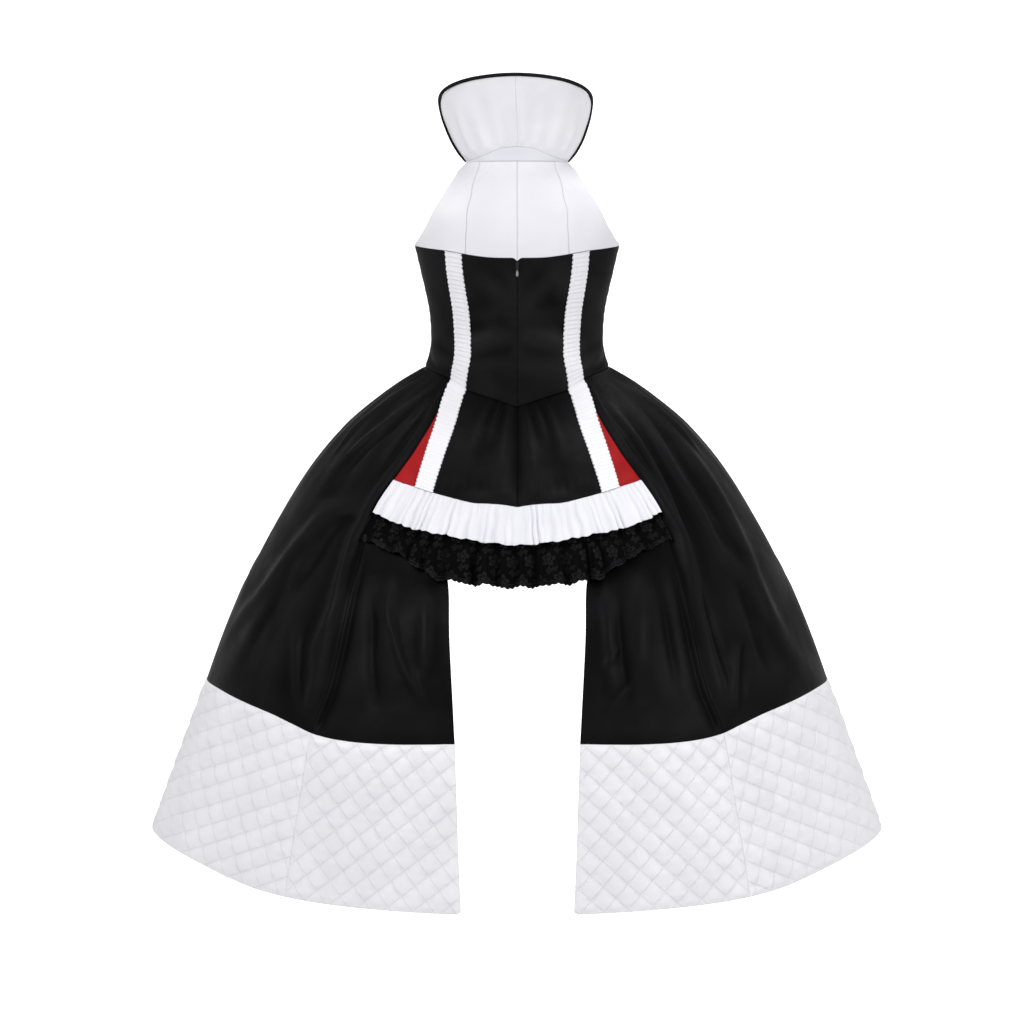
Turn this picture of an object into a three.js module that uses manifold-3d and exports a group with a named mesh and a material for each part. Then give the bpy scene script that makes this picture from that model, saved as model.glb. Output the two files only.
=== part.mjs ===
// Stage costume after a playing card: halter yoke with a fan collar, boned-look bodice, short back skirt
// with a gathered flounce and a lace flounce, and two long side skirts with quilted hems.
// Millimetres, +Z up. The wearer faces +Y, so the back, with its zip, faces -Y. The origin is the middle of
// the waist. Every panel is a thin wall on one of three forms: the torso, the skirt and the collar.
// An angle of 0 is the centre back, 90 the wearer's right side (+X) and 180 the centre front.
import * as THREE from 'three';
import { mergeVertices } from 'three/addons/utils/BufferGeometryUtils.js';
import Module from 'manifold-3d';

const wasm = await Module();
wasm.setup();

// Driving dimensions
const clothHalf = 1.0; // half the radial depth of a bodice or skirt wall
const seamHalf = 0.17; // half the gap between two pieces sewn edge to edge
const waistHalf = 0.25; // half the gap at the curved waist seam
const hemZ = -767; // the level of the long hem
const skirtFall = 745; // from the waist seam to that hem
const peplumHem = 0.186; // share of the way from waist to hem, for each horizontal seam
const flounceHem = 0.26;
const frontHem = 0.26;
const bandTop = 0.667;
const trimHalfWidth = 14;
const trimWaves = { torso: 20, skirt: 19 };
const flounceWaves = 38;
const laceWaves = 24;
const quiltRows = 14;
const quiltColumns = { back: 14, side: 40 };
// Shares at which the skirt's panels have a row, so that neighbours meet edge to edge
const peplumShares = [0, 0.02, 0.047, 0.08, 0.12, 0.152, 0.186];
const goreShares = [0, 0.02, 0.047, 0.08, 0.12, 0.166, 0.21, 0.26, 0.31, 0.36, 0.42, 0.5, 0.58, 0.667];
const quiltLoft = 3.4;
const sideSeam = 90;

// Tables: one row for each section, with named columns
const torsoRows = [
  { z: -60, halfWidth: 149, back: 97, front: 97 },
  { z: 12, halfWidth: 149, back: 97, front: 97 },
  { z: 24, halfWidth: 146, back: 96, front: 96 },
  { z: 40, halfWidth: 141.5, back: 94, front: 95 },
  { z: 56, halfWidth: 139.8, back: 93, front: 95 },
  { z: 72, halfWidth: 139.8, back: 93, front: 97 },
  { z: 105, halfWidth: 142.4, back: 96, front: 104 },
  { z: 137, halfWidth: 148.8, back: 100, front: 115 },
  { z: 170, halfWidth: 156.4, back: 104, front: 127 },
  { z: 208, halfWidth: 165.2, back: 108, front: 129 },
  { z: 240, halfWidth: 174, back: 108, front: 118 },
  { z: 270, halfWidth: 173, back: 104, front: 102 },
  { z: 300, halfWidth: 148, back: 93, front: 88 },
  { z: 315, halfWidth: 125, back: 84, front: 80 },
  { z: 325, halfWidth: 107, back: 76, front: 75 },
  { z: 335, halfWidth: 90.5, back: 69, front: 70 },
  { z: 347, halfWidth: 79.5, back: 62.5, front: 63.5 },
];
const skirtRows = [
  { share: 0, halfWidth: 149, depth: 97 },
  { share: 0.03, halfWidth: 189, depth: 122 },
  { share: 0.07, halfWidth: 231, depth: 158 },
  { share: 0.12, halfWidth: 276, depth: 200 },
  { share: 0.2, halfWidth: 330, depth: 258 },
  { share: 0.3, halfWidth: 383, depth: 320 },
  { share: 0.42, halfWidth: 434, depth: 371 },
  { share: 0.56, halfWidth: 482, depth: 409 },
  { share: 0.7, halfWidth: 525, depth: 437 },
  { share: 0.85, halfWidth: 567, depth: 459 },
  { share: 1, halfWidth: 607, depth: 477 },
];
const collarRows = [
  { rise: 0, side: 0, back: 0 },
  { rise: 18, side: 13, back: 8 },
  { rise: 36, side: 23, back: 15.5 },
  { rise: 64, side: 33.5, back: 27 },
  { rise: 90, side: 40.5, back: 37 },
  { rise: 115, side: 49.5, back: 48 },
  { rise: 135, side: 58, back: 56 },
];
const waistRows = [
  { angle: 0, z: -45 },
  { angle: 16, z: -31.6 },
  { angle: 33, z: -18.6 },
  { angle: 47.4, z: -2 },
  { angle: 65, z: 7 },
  { angle: 90, z: 11.5 },
  { angle: 180, z: 8 },
];
const bodiceTopRows = [
  { angle: 0, z: 194.6 },
  { angle: 14, z: 194.9 },
  { angle: 23, z: 197.2 },
  { angle: 33, z: 200.9 },
  { angle: 47, z: 205.5 },
  { angle: 90, z: 209.7 },
  { angle: 180, z: 204 },
];
const neckRows = [
  { angle: 0, z: 347 },
  { angle: 50, z: 346 },
  { angle: 90, z: 342 },
  { angle: 130, z: 338.5 },
  { angle: 180, z: 333 },
];
const collarBaseRows = [
  { angle: 0, z: 370 },
  { angle: 18, z: 367.5 },
  { angle: 34, z: 359.5 },
  { angle: 50, z: 352.8 },
  { angle: 70, z: 348 },
  { angle: 90, z: 345 },
];
const bodiceSeamRows = [
  { z: -12, angle: 39.3 },
  { z: 21, angle: 37.6 },
  { z: 50, angle: 38.1 },
  { z: 74, angle: 38.6 },
  { z: 110, angle: 38.9 },
  { z: 142, angle: 39.3 },
  { z: 174, angle: 39.2 },
  { z: 203, angle: 38.2 },
];
const yokeSeamRows = [
  { z: 198, angle: 30.6 },
  { z: 214, angle: 30.2 },
  { z: 246, angle: 28 },
  { z: 290, angle: 29 },
  { z: 328, angle: 39 },
  { z: 347, angle: 43.6 },
];
const armholeRows = [
  { z: 209.7, angle: 90 },
  { z: 219, angle: 73 },
  { z: 235, angle: 61 },
  { z: 251, angle: 54.5 },
  { z: 267, angle: 50.8 },
  { z: 283, angle: 49.5 },
  { z: 300, angle: 50.5 },
  { z: 315, angle: 57 },
  { z: 325, angle: 67 },
  { z: 335, angle: 90 },
];
const skirtSeamRows = [
  { share: 0, angle: 39.3 },
  { share: 0.011, angle: 37.4 },
  { share: 0.0225, angle: 35.1 },
  { share: 0.056, angle: 31.1 },
  { share: 0.109, angle: 28.4 },
  { share: 0.186, angle: 26.9 },
];
const gussetSeamRows = [
  { share: 0, angle: 46.5 },
  { share: 0.02, angle: 41.5 },
  { share: 0.052, angle: 37 },
  { share: 0.116, angle: 35.7 },
  { share: 0.183, angle: 37.6 },
  { share: 0.251, angle: 39 },
  { share: 0.302, angle: 39.7 },
  { share: 0.43, angle: 37 },
  { share: 0.58, angle: 36.2 },
  { share: 0.67, angle: 37.6 },
  { share: 0.81, angle: 36.9 },
  { share: 1, angle: 36 },
];
const slitRows = [
  { share: 0.16, angle: 27 },
  { share: 0.22, angle: 22.2 },
  { share: 0.357, angle: 15.45 },
  { share: 0.462, angle: 13.3 },
  { share: 0.667, angle: 10.6 },
  { share: 1, angle: 8.05 },
];
const frontEdgeRows = [
  { share: 0, angle: 112 },
  { share: 1, angle: 116 },
];
const laceHemRows = [
  { angle: 0, share: 0.348 },
  { angle: 17, share: 0.345 },
  { angle: 21, share: 0.333 },
  { angle: 25, share: 0.318 },
  { angle: 30, share: 0.306 },
  { angle: 40, share: 0.294 },
];
// How far the horizontal seams and the long hem hang below their level, in millimetres
const seamDropRows = [
  { angle: 0, drop: 6 },
  { angle: 4, drop: 5 },
  { angle: 8, drop: 6.2 },
  { angle: 12, drop: 8 },
  { angle: 18, drop: 5.4 },
  { angle: 23, drop: 2.6 },
  { angle: 29.5, drop: -1.4 },
  { angle: 40, drop: -4.4 },
];
const flounceDropRows = [
  { angle: 0, drop: 5 },
  { angle: 9, drop: 4.8 },
  { angle: 19, drop: 1.2 },
  { angle: 25, drop: -0.4 },
  { angle: 30, drop: -3.8 },
  { angle: 34, drop: -7.5 },
  { angle: 40, drop: -13 },
];
const hemDropRows = [
  { angle: 0, drop: 6.5 },
  { angle: 12, drop: 7.6 },
  { angle: 20, drop: 7.4 },
  { angle: 30, drop: 6.8 },
  { angle: 36, drop: 4.8 },
  { angle: 42, drop: 0.5 },
  { angle: 48, drop: -7.5 },
  { angle: 55, drop: -16 },
  { angle: 64, drop: -22 },
  { angle: 74, drop: -23 },
  { angle: 84, drop: -18 },
  { angle: 94, drop: -12 },
  { angle: 116, drop: -8 },
];
// How far the long skirt dips in behind the flounces
const tuckRows = [
  { share: 0, depth: 0 },
  { share: 0.12, depth: 0 },
  { share: 0.165, depth: -5.4 },
  { share: 0.2, depth: -9 },
  { share: 0.26, depth: -11 },
  { share: 0.34, depth: -11 },
  { share: 0.43, depth: 0 },
  { share: 1, depth: 0 },
];
const laceRows = [
  { share: 0.172, depth: -2.4, wave: 0 },
  { share: 0.186, depth: -2.6, wave: 0.2 },
  { share: 0.26, depth: -3.7, wave: 1.8 },
  { share: 0.31, depth: 1, wave: 5.5 },
  { share: 0.36, depth: 4, wave: 7.5 },
];
// The largest folds: each runs from one angle and share to another, bowed to one side
const sideFoldRows = [
  { top: 52, from: 0, bottom: 45.5, to: 0.26, bow: -2.5, width: 2.4, height: 8 },
  { top: 60.5, from: 0, bottom: 51, to: 0.3, bow: -4, width: 3, height: 10 },
  { top: 71, from: 0, bottom: 65, to: 0.34, bow: -4, width: 3.4, height: 9 },
  { top: 80, from: 0, bottom: 84, to: 0.3, bow: -1.5, width: 3.6, height: 4 },
  { top: 93, from: 0, bottom: 97, to: 0.4, bow: 0, width: 4, height: 4 },
  { top: 103, from: 0, bottom: 106, to: 0.5, bow: 0, width: 3.8, height: 8 },
  { top: 42.5, from: 0.34, bottom: 41, to: 0.69, bow: 0, width: 2.6, height: 10 },
  { top: 49, from: 0.28, bottom: 69, to: 0.69, bow: 3, width: 3.8, height: 13 },
  { top: 50, from: 0.38, bottom: 51.5, to: 0.69, bow: 0, width: 3.4, height: 8 },
  { top: 81, from: 0.4, bottom: 80, to: 0.69, bow: 0, width: 5, height: 5 },
  { top: 98, from: 0.36, bottom: 100, to: 0.69, bow: 0, width: 4.6, height: 7 },
];
const backFoldRows = [
  { top: 28, from: 0.22, bottom: 13.5, to: 0.66, bow: -2, width: 2.6, height: 8 },
  { top: 33, from: 0.24, bottom: 19, to: 0.69, bow: -1, width: 2.8, height: 8 },
];
const peplumFoldRows = [
  { top: 4.5, from: 0, bottom: 5.5, to: 0.17, bow: 0, width: 2, height: 5 },
  { top: 10, from: 0, bottom: 11, to: 0.1, bow: 0, width: 2, height: 3.5 },
  { top: 16, from: 0, bottom: 15.5, to: 0.15, bow: 0, width: 2.2, height: 3.5 },
];
const frontFoldRows = [
  { top: 128, from: 0, bottom: 130, to: 0.3, bow: 0, width: 4, height: 6 },
  { top: 145, from: 0, bottom: 147, to: 0.3, bow: 0, width: 4, height: 6 },
  { top: 163, from: 0, bottom: 163, to: 0.3, bow: 0, width: 4, height: 6 },
];
// The collar's free edge, from the neck on one side up to the centre back
const collarEdgeRows = [
  { angle: 90, z: 345.5 },
  { angle: 90, z: 364 },
  { angle: 90, z: 386 },
  { angle: 89, z: 404 },
  { angle: 86.5, z: 420 },
  { angle: 82, z: 433.5 },
  { angle: 76, z: 444 },
  { angle: 68, z: 453 },
  { angle: 59, z: 460.5 },
  { angle: 48, z: 468 },
  { angle: 36, z: 474.5 },
  { angle: 24, z: 479 },
  { angle: 12, z: 481.8 },
  { angle: 0, z: 482.8 },
];

// Small helpers
const radians = THREE.MathUtils.degToRad;
const { lerp, clamp, smoothstep } = THREE.MathUtils;
const evenly = (count) => Array.from({ length: count + 1 }, (_, i) => i / count);

// A smooth curve through one column of a table, with slopes taken from the neighbouring rows
function along(rows, key, column, at) {
  const slope = (i) => {
    const low = rows[Math.max(i - 1, 0)];
    const high = rows[Math.min(i + 1, rows.length - 1)];
    return (high[column] - low[column]) / (high[key] - low[key]);
  };
  const x = clamp(at, rows[0][key], rows[rows.length - 1][key]);
  let i = 0;
  while (i < rows.length - 2 && x > rows[i + 1][key]) i += 1;
  const span = rows[i + 1][key] - rows[i][key];
  const s = (x - rows[i][key]) / span;
  const a = rows[i][column];
  const b = rows[i + 1][column];
  return (
    (2 * s ** 3 - 3 * s * s + 1) * a +
    (s ** 3 - 2 * s * s + s) * span * slope(i) +
    (3 * s * s - 2 * s ** 3) * b +
    (s ** 3 - s * s) * span * slope(i + 1)
  );
}

// An angle counted from the centre back, the same on both sides
function fromBack(angle) {
  const turned = Math.abs(((angle + 180) % 360) - 180);
  return angle > 180 ? 360 - angle : turned;
}

const waistZ = (angle) => along(waistRows, 'angle', 'z', fromBack(angle));
const neckZ = (angle) => along(neckRows, 'angle', 'z', fromBack(angle));
const collarBaseZ = (angle) => along(collarBaseRows, 'angle', 'z', fromBack(angle));

const backHemLine = (angle) => peplumHem + along(seamDropRows, 'angle', 'drop', fromBack(angle)) / skirtFall;
const flounceHemLine = (angle) => flounceHem + along(flounceDropRows, 'angle', 'drop', fromBack(angle)) / skirtFall;

// The bodice's top edge has a small nick at the centre back, where the zip ends
function bodiceTopZ(angle) {
  const nick = 5 * Math.exp(-((fromBack(angle) / 1.3) ** 2));
  return along(bodiceTopRows, 'angle', 'z', fromBack(angle)) - nick;
}

function onEllipse(angle, halfWidth, depth, z, out) {
  const r = radians(angle);
  return new THREE.Vector3((halfWidth + out) * Math.sin(r), -(depth + out) * Math.cos(r), z);
}

// Torso form: an ellipse at each level, deeper at the bust
function torsoPoint(angle, z, out) {
  const depth = along(torsoRows, 'z', Math.cos(radians(angle)) < 0 ? 'front' : 'back', z);
  return onEllipse(angle, along(torsoRows, 'z', 'halfWidth', z), depth, z, out);
}

// Skirt form: starts on the waist seam and widens to the hem, which rises towards the sides within the band
function skirtPoint(angle, share, out) {
  const start = waistZ(angle);
  const halfWidth = along(skirtRows, 'share', 'halfWidth', share);
  const depth = along(skirtRows, 'share', 'depth', share);
  const inBand = Math.max(share - bandTop, 0) / (1 - bandTop);
  const drop = inBand === 0 ? 0 : inBand ** 1.4 * along(hemDropRows, 'angle', 'drop', fromBack(angle));
  return onEllipse(angle, halfWidth, depth, lerp(start, hemZ, share) - drop, out);
}

// Collar form: flares from the neck ring with the height above its base
function collarPoint(angle, z, out) {
  const neck = torsoRows[torsoRows.length - 1];
  const rise = z - collarBaseZ(angle);
  const halfWidth = neck.halfWidth + along(collarRows, 'rise', 'side', rise);
  const depth = neck.back + along(collarRows, 'rise', 'back', rise);
  return onEllipse(angle, halfWidth, depth, z, out);
}

// Height of soft folds at a place on the skirt
function foldHeight(rows, angle, share) {
  let height = 0;
  for (const fold of rows) {
    const s = (share - fold.from) / (fold.to - fold.from);
    if (s >= 1 || s < 0) continue;
    const centre = lerp(fold.top, fold.bottom, s) + fold.bow * Math.sin(Math.PI * s);
    const fade = fold.from === 0 ? 0.3 + 0.7 * smoothstep(s, 0, 0.3) : smoothstep(s, 0, 0.25);
    const end = 1 - smoothstep(s, 0.45, 1);
    height += fold.height * fade * end * Math.exp(-(((angle - centre) / fold.width) ** 2));
  }
  return height;
}

// Closed wall between an outer and an inner face, each on its own grid of u and v
function wallGeometry({ outer, inner, columns, rows, innerColumns = columns, innerRows = rows, split }) {
  const points = [];
  const faces = [];
  const place = (list) => {
    points.push(list);
    return points.length - 1;
  };
  const o = columns.map((u) => rows.map((v) => place(outer(u, v))));
  const n = innerColumns.map((u) => innerRows.map((v) => place(inner(u, v))));
  const quads = (grid, turned) => {
    for (let i = 0; i < grid.length - 1; i += 1) {
      for (let j = 0; j < grid[0].length - 1; j += 1) {
        const [a, b, c, d] = [grid[i][j], grid[i + 1][j], grid[i + 1][j + 1], grid[i][j + 1]];
        const halves = split && split(i, j) ? [[a, b, d], [b, c, d]] : [[a, b, c], [a, c, d]];
        for (const [p, q, r] of halves) faces.push(turned ? [p, r, q] : [p, q, r]);
      }
    }
  };
  quads(o, false);
  quads(n, true);
  const rim = (outerLine, outerAt, innerLine, innerAt, turned) => {
    let i = 0;
    let j = 0;
    while (i < outerLine.length - 1 || j < innerLine.length - 1) {
      const step = innerLine.length - 1 === j || (i < outerLine.length - 1 && outerAt[i + 1] <= innerAt[j + 1]);
      const face = step
        ? [outerLine[i], outerLine[i + 1], innerLine[j]]
        : [outerLine[i], innerLine[j + 1], innerLine[j]];
      faces.push(turned ? [face[0], face[2], face[1]] : face);
      if (step) i += 1;
      else j += 1;
    }
  };
  const last = (grid) => grid[grid.length - 1];
  const end = (grid) => grid.map((line) => last(line));
  const start = (grid) => grid.map((line) => line[0]);
  rim(o[0], rows, n[0], innerRows, false);
  rim(last(o), rows, last(n), innerRows, true);
  rim(start(o), columns, start(n), innerColumns, true);
  rim(end(o), columns, end(n), innerColumns, false);
  return closedGeometry(points, faces);
}

// Faces turned so that the volume is positive, which puts them outwards
function closedGeometry(points, faces) {
  let volume = 0;
  for (const [a, b, c] of faces) volume += points[a].dot(points[b].clone().cross(points[c]));
  const geometry = new THREE.BufferGeometry();
  geometry.setAttribute('position', new THREE.Float32BufferAttribute(points.flatMap((p) => p.toArray()), 3));
  geometry.setIndex(faces.flatMap(([a, b, c]) => (volume > 0 ? [a, b, c] : [a, c, b])));
  return geometry;
}

// Place on a form for u and v inside four edges, kept clear of the edges by the seam gaps
function between({ left, right, bottom, top, guess, radius = 100, side = seamHalf, low = seamHalf, high = seamHalf }) {
  return (u, v) => {
    let place = lerp(guess[0], guess[1], v);
    let angle = 0;
    for (let pass = 0; pass < 6; pass += 1) {
      angle = lerp(left(place), right(place), u);
      place = lerp(bottom(angle), top(angle), v);
    }
    const inset = (THREE.MathUtils.radToDeg(side / radius)) * (1 - 2 * u) * Math.sign(right(place) - left(place));
    return [angle + inset, place, low * (1 - v) - high * v];
  };
}

const whiteSatin = { color: 0xebe8f0, roughness: 0.45 };
const blackSatin = { color: 0x17171a, roughness: 0.5 };
const redSatin = { color: 0xa5191c, roughness: 0.55 };
const blackLace = { color: 0x0c0c0e, roughness: 0.85 };
const zipMetal = { color: 0x8f9092, roughness: 0.3, metalness: 0.9 };
const zipBlack = { color: 0x101012, roughness: 0.7 };

const costume = new THREE.Group();
function add(name, geometry, finish) {
  const mesh = new THREE.Mesh(geometry, new THREE.MeshStandardMaterial({ metalness: 0, ...finish }));
  mesh.name = name;
  costume.add(mesh);
  return mesh;
}

const sides = [
  { name: 'left', sign: -1 },
  { name: 'right', sign: 1 },
];
function mirrored(point, sign) {
  point.x *= sign;
  return point;
}

// A panel on the torso form, for one side or across the middle
function torsoPanel({ name, finish, sign = 1, domain, columns, rows, half = clothHalf }) {
  const face = (out) => (u, v) => {
    const [angle, z, lift] = domain(u, v);
    return mirrored(torsoPoint(angle, z + lift, out), sign);
  };
  add(name, wallGeometry({ outer: face(half), inner: face(-half), columns, rows }), finish);
}

// A panel on the skirt form; out gives how far it stands off the form
function skirtPanel({ name, finish, sign = 1, domain, columns, rows, out, half = clothHalf, lift = 1 }) {
  const face = (depth) => (u, v) => {
    const [angle, share, gap] = domain(u, v);
    const point = skirtPoint(angle, share, out(angle, share) + depth);
    point.z -= gap * lift;
    return mirrored(point, sign);
  };
  add(name, wallGeometry({ outer: face(half), inner: face(-half), columns, rows }), finish);
}

const bodiceSeam = (z) => along(bodiceSeamRows, 'z', 'angle', z);
const yokeSeam = (z) => along(yokeSeamRows, 'z', 'angle', z);
const armhole = (z) => (z > 335 ? 90 : along(armholeRows, 'z', 'angle', z));
const skirtSeam = (share) => along(skirtSeamRows, 'share', 'angle', share);
const gussetSeam = (share) => along(gussetSeamRows, 'share', 'angle', share);
const slitEdge = (share) => along(slitRows, 'share', 'angle', share);
const frontEdge = (share) => along(frontEdgeRows, 'share', 'angle', share);
const tuck = (share) => along(tuckRows, 'share', 'depth', share);

function buildBodice() {
  const edges = { bottom: waistZ, top: bodiceTopZ, guess: [-20, 200], low: waistHalf };
  const frontSeam = (z) => 180 - bodiceSeam(z);
  const rows = [0, 0.1, 0.22, 0.34, 0.46, 0.58, 0.7, 0.85, 1];
  const frontRows = [0, 0.17, 0.34, 0.52, 0.7, 0.85, 1];
  for (const { name, sign } of sides) {
    const centreBack = between({ ...edges, left: () => 0, right: bodiceSeam });
    torsoPanel({ name: `bodice_back_${name}`, finish: blackSatin, sign, domain: centreBack, rows,
      columns: [0, 0.05, 0.25, 0.45, 0.64, 0.82, 1] });
    const sideBack = between({ ...edges, left: bodiceSeam, right: () => sideSeam });
    torsoPanel({ name: `bodice_side_back_${name}`, finish: blackSatin, sign, domain: sideBack, rows,
      columns: [0, 0.07, 0.15, 0.28, 0.5, 0.75, 1] });
    const sideFront = between({ ...edges, left: () => sideSeam, right: frontSeam });
    torsoPanel({ name: `bodice_side_front_${name}`, finish: blackSatin, sign, domain: sideFront,
      columns: evenly(5), rows: frontRows });
  }
  const front = between({ ...edges, left: frontSeam, right: (z) => 360 - frontSeam(z) });
  torsoPanel({ name: 'bodice_front', finish: blackSatin, domain: front, columns: evenly(10), rows: frontRows });
}

function buildYoke() {
  const edges = { bottom: bodiceTopZ, top: neckZ, guess: [205, 345] };
  const rows = [0, 0.12, 0.27, 0.42, 0.57, 0.7, 0.8, 0.87, 0.92, 1];
  for (const { name, sign } of sides) {
    const centre = between({ ...edges, left: () => 0, right: yokeSeam });
    torsoPanel({ name: `yoke_back_${name}`, finish: whiteSatin, sign, domain: centre, rows,
      columns: [0, 0.07, 0.3, 0.53, 0.77, 1] });
    const side = between({ ...edges, left: yokeSeam, right: armhole });
    torsoPanel({ name: `yoke_side_${name}`, finish: whiteSatin, sign, domain: side, rows,
      columns: evenly(5) });
  }
  const opening = (z) => 180 - armhole(z);
  const front = between({ ...edges, left: opening, right: (z) => 360 - opening(z) });
  torsoPanel({ name: 'yoke_front', finish: whiteSatin, domain: front, rows, columns: evenly(14) });
}

// Neckband: a crescent that stands on the back neckline and tapers to the sides of the neck
function buildNeckband() {
  const reach = 84;
  const domain = between({ left: () => -reach, right: () => reach, bottom: neckZ, top: collarBaseZ,
    guess: [347, 365] });
  torsoPanel({ name: 'neckband', finish: whiteSatin, domain, columns: evenly(20), rows: [0, 1] });
}

// Fan collar: rows run from the neckband to the free edge, columns along the free edge
function buildCollar() {
  const bindingRadius = 2.7;
  // The binding sits past the collar's edge at the top and on the edge's outer side at the sides
  const aside = (angle, z) => Math.sin(radians(angle)) ** 2 * smoothstep(z - collarBaseZ(angle), 0, 28);
  const clearAt = (angle, z) => lerp(bindingRadius + 0.75, bindingRadius - 0.1, aside(angle, z));
  const bindingOut = (angle, z) => 3.6 * aside(angle, z);
  const collarHalf = 1.1;
  const reach = 87.6;
  const half = collarEdgeRows.map(({ angle, z }) => new THREE.Vector3(angle, z, 0));
  const other = half.slice(0, -1).reverse().map((p) => new THREE.Vector3(-p.x, p.y, 0));
  const edge = new THREE.CatmullRomCurve3([...half, ...other]);
  const face = (depth, sideSign) => (u, v) => {
    const at = edge.getPoint(u);
    const here = collarPoint(at.x, at.y, 0);
    const perDegree = collarPoint(at.x + 0.5, at.y, 0).distanceTo(here) * 2;
    const perRise = collarPoint(at.x, at.y + 0.5, 0).distanceTo(here) * 2;
    const run = edge.getTangent(u);
    const inward = new THREE.Vector2(-run.y * perRise, run.x * perDegree).setLength(clearAt(at.x, at.y)).negate();
    const base = 2 * reach * (0.5 - u);
    const baseZ = collarBaseZ(base) + seamHalf;
    const seam = u === 0.5 ? (seamHalf / perDegree) * sideSign : 0;
    const topAngle = clamp(at.x - inward.x / perDegree, -reach, reach);
    const topZ = Math.max(at.y - inward.y / perRise, baseZ + 1.5);
    const angle = lerp(base, topAngle, v) + seam;
    const pucker = 1.4 * Math.cos(radians(angle * 15)) * (1 - v) ** 2 * smoothstep(v, 0, 0.12);
    return collarPoint(angle, lerp(baseZ, topZ, v), depth + pucker);
  };
  for (const { name, sign } of sides) {
    const columns = evenly(14).map((u) => (sign > 0 ? u / 2 : 0.5 + u / 2));
    add(`collar_${name}`, wallGeometry({ outer: face(collarHalf, sign), inner: face(-collarHalf, sign),
      columns, rows: [0, 0.12, 0.3, 0.52, 0.76, 1] }), whiteSatin);
  }

  const path = new THREE.CatmullRomCurve3(evenly(60).map((u) => {
    const at = edge.getPoint(u);
    return collarPoint(at.x, at.y, bindingOut(at.x, at.y));
  }));
  const section = new THREE.Shape().absarc(0, 0, bindingRadius, 0, 2 * Math.PI);
  const tube = new THREE.ExtrudeGeometry(section, { extrudePath: path, steps: 42, curveSegments: 4,
    bevelEnabled: false });
  add('collar_binding', sealed(tube), blackSatin);
}

// Merged copy of a geometry, as one closed solid
function sealed(geometry) {
  const bare = geometry.clone();
  bare.deleteAttribute('normal');
  bare.deleteAttribute('uv');
  return mergeVertices(bare, 1e-4);
}

// Gathers of the back skirt below the waist's point, and the fold at its centre seam
function backSkirtOut(angle, share) {
  const depth = 4 * (0.35 + 0.65 * smoothstep(share, 0, 0.06)) * (1 - 0.7 * smoothstep(share, 0.1, 0.17));
  return foldHeight(peplumFoldRows, Math.abs(angle), share) - depth * Math.exp(-((angle / 1.6) ** 2));
}

// Back skirt: two black centre panels and two red gussets
function buildBackSkirt() {
  const edges = { bottom: () => 0, top: backHemLine, guess: [0, peplumHem], radius: 120, low: waistHalf };
  const rows = peplumShares.map((share) => share / peplumHem);
  for (const { name, sign } of sides) {
    const centre = between({ ...edges, left: () => 0, right: skirtSeam });
    skirtPanel({ name: `back_skirt_${name}`, finish: blackSatin, sign, domain: centre, out: backSkirtOut, rows,
      columns: [0, 0.06, 0.14, 0.24, 0.34, 0.44, 0.55, 0.68, 0.84, 1] });
    const gusset = between({ ...edges, left: skirtSeam, right: gussetSeam });
    skirtPanel({ name: `gusset_${name}`, finish: redSatin, sign, domain: gusset, out: () => 0, rows,
      columns: evenly(3) });
  }
}

// White flounce, gathered along the back skirt's hem
function buildFlounce() {
  const domain = between({ left: (s) => -gussetSeam(s), right: gussetSeam, bottom: backHemLine,
    top: flounceHemLine, guess: [peplumHem, flounceHem], radius: 250 });
  const face = (depth) => (u, v) => {
    const [angle, share, gap] = domain(u, v);
    const wave = Math.cos(2 * Math.PI * flounceWaves * u) * lerp(0.8, 2.4, v);
    const point = skirtPoint(angle, share, 4.4 * v + wave + depth);
    point.z -= gap;
    return point;
  };
  add('flounce', wallGeometry({ outer: face(0.9), inner: face(-0.9), columns: evenly(flounceWaves * 3),
    rows: [0, 1] }), whiteSatin);
}

// Black lace flounce, gathered behind the white one, with a scalloped edge
function buildLace() {
  const top = 0.172;
  const scallop = 0.0042;
  const domain = between({ left: (s) => -gussetSeam(s) + 0.25, right: (s) => gussetSeam(s) - 0.25,
    bottom: () => top, top: (a) => along(laceHemRows, 'angle', 'share', fromBack(a)), guess: [top, 0.34],
    radius: 280, low: 0, high: 0 });
  const face = (depth) => (u, v) => {
    const [angle, share] = domain(u, v);
    const phase = Math.cos(2 * Math.PI * laceWaves * u);
    const wave = along(laceRows, 'share', 'wave', share) * phase;
    const follow = backSkirtOut(angle, share) * (1 - smoothstep(share, 0.19, 0.25));
    const out = along(laceRows, 'share', 'depth', share) + follow + wave + depth;
    return skirtPoint(angle, share + scallop * phase * v ** 4, out);
  };
  add('lace_flounce', wallGeometry({ outer: face(0.7), inner: face(-0.7), columns: evenly(laceWaves * 4),
    rows: [0, 0.25, 0.55, 1] }), blackLace);
}

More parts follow.
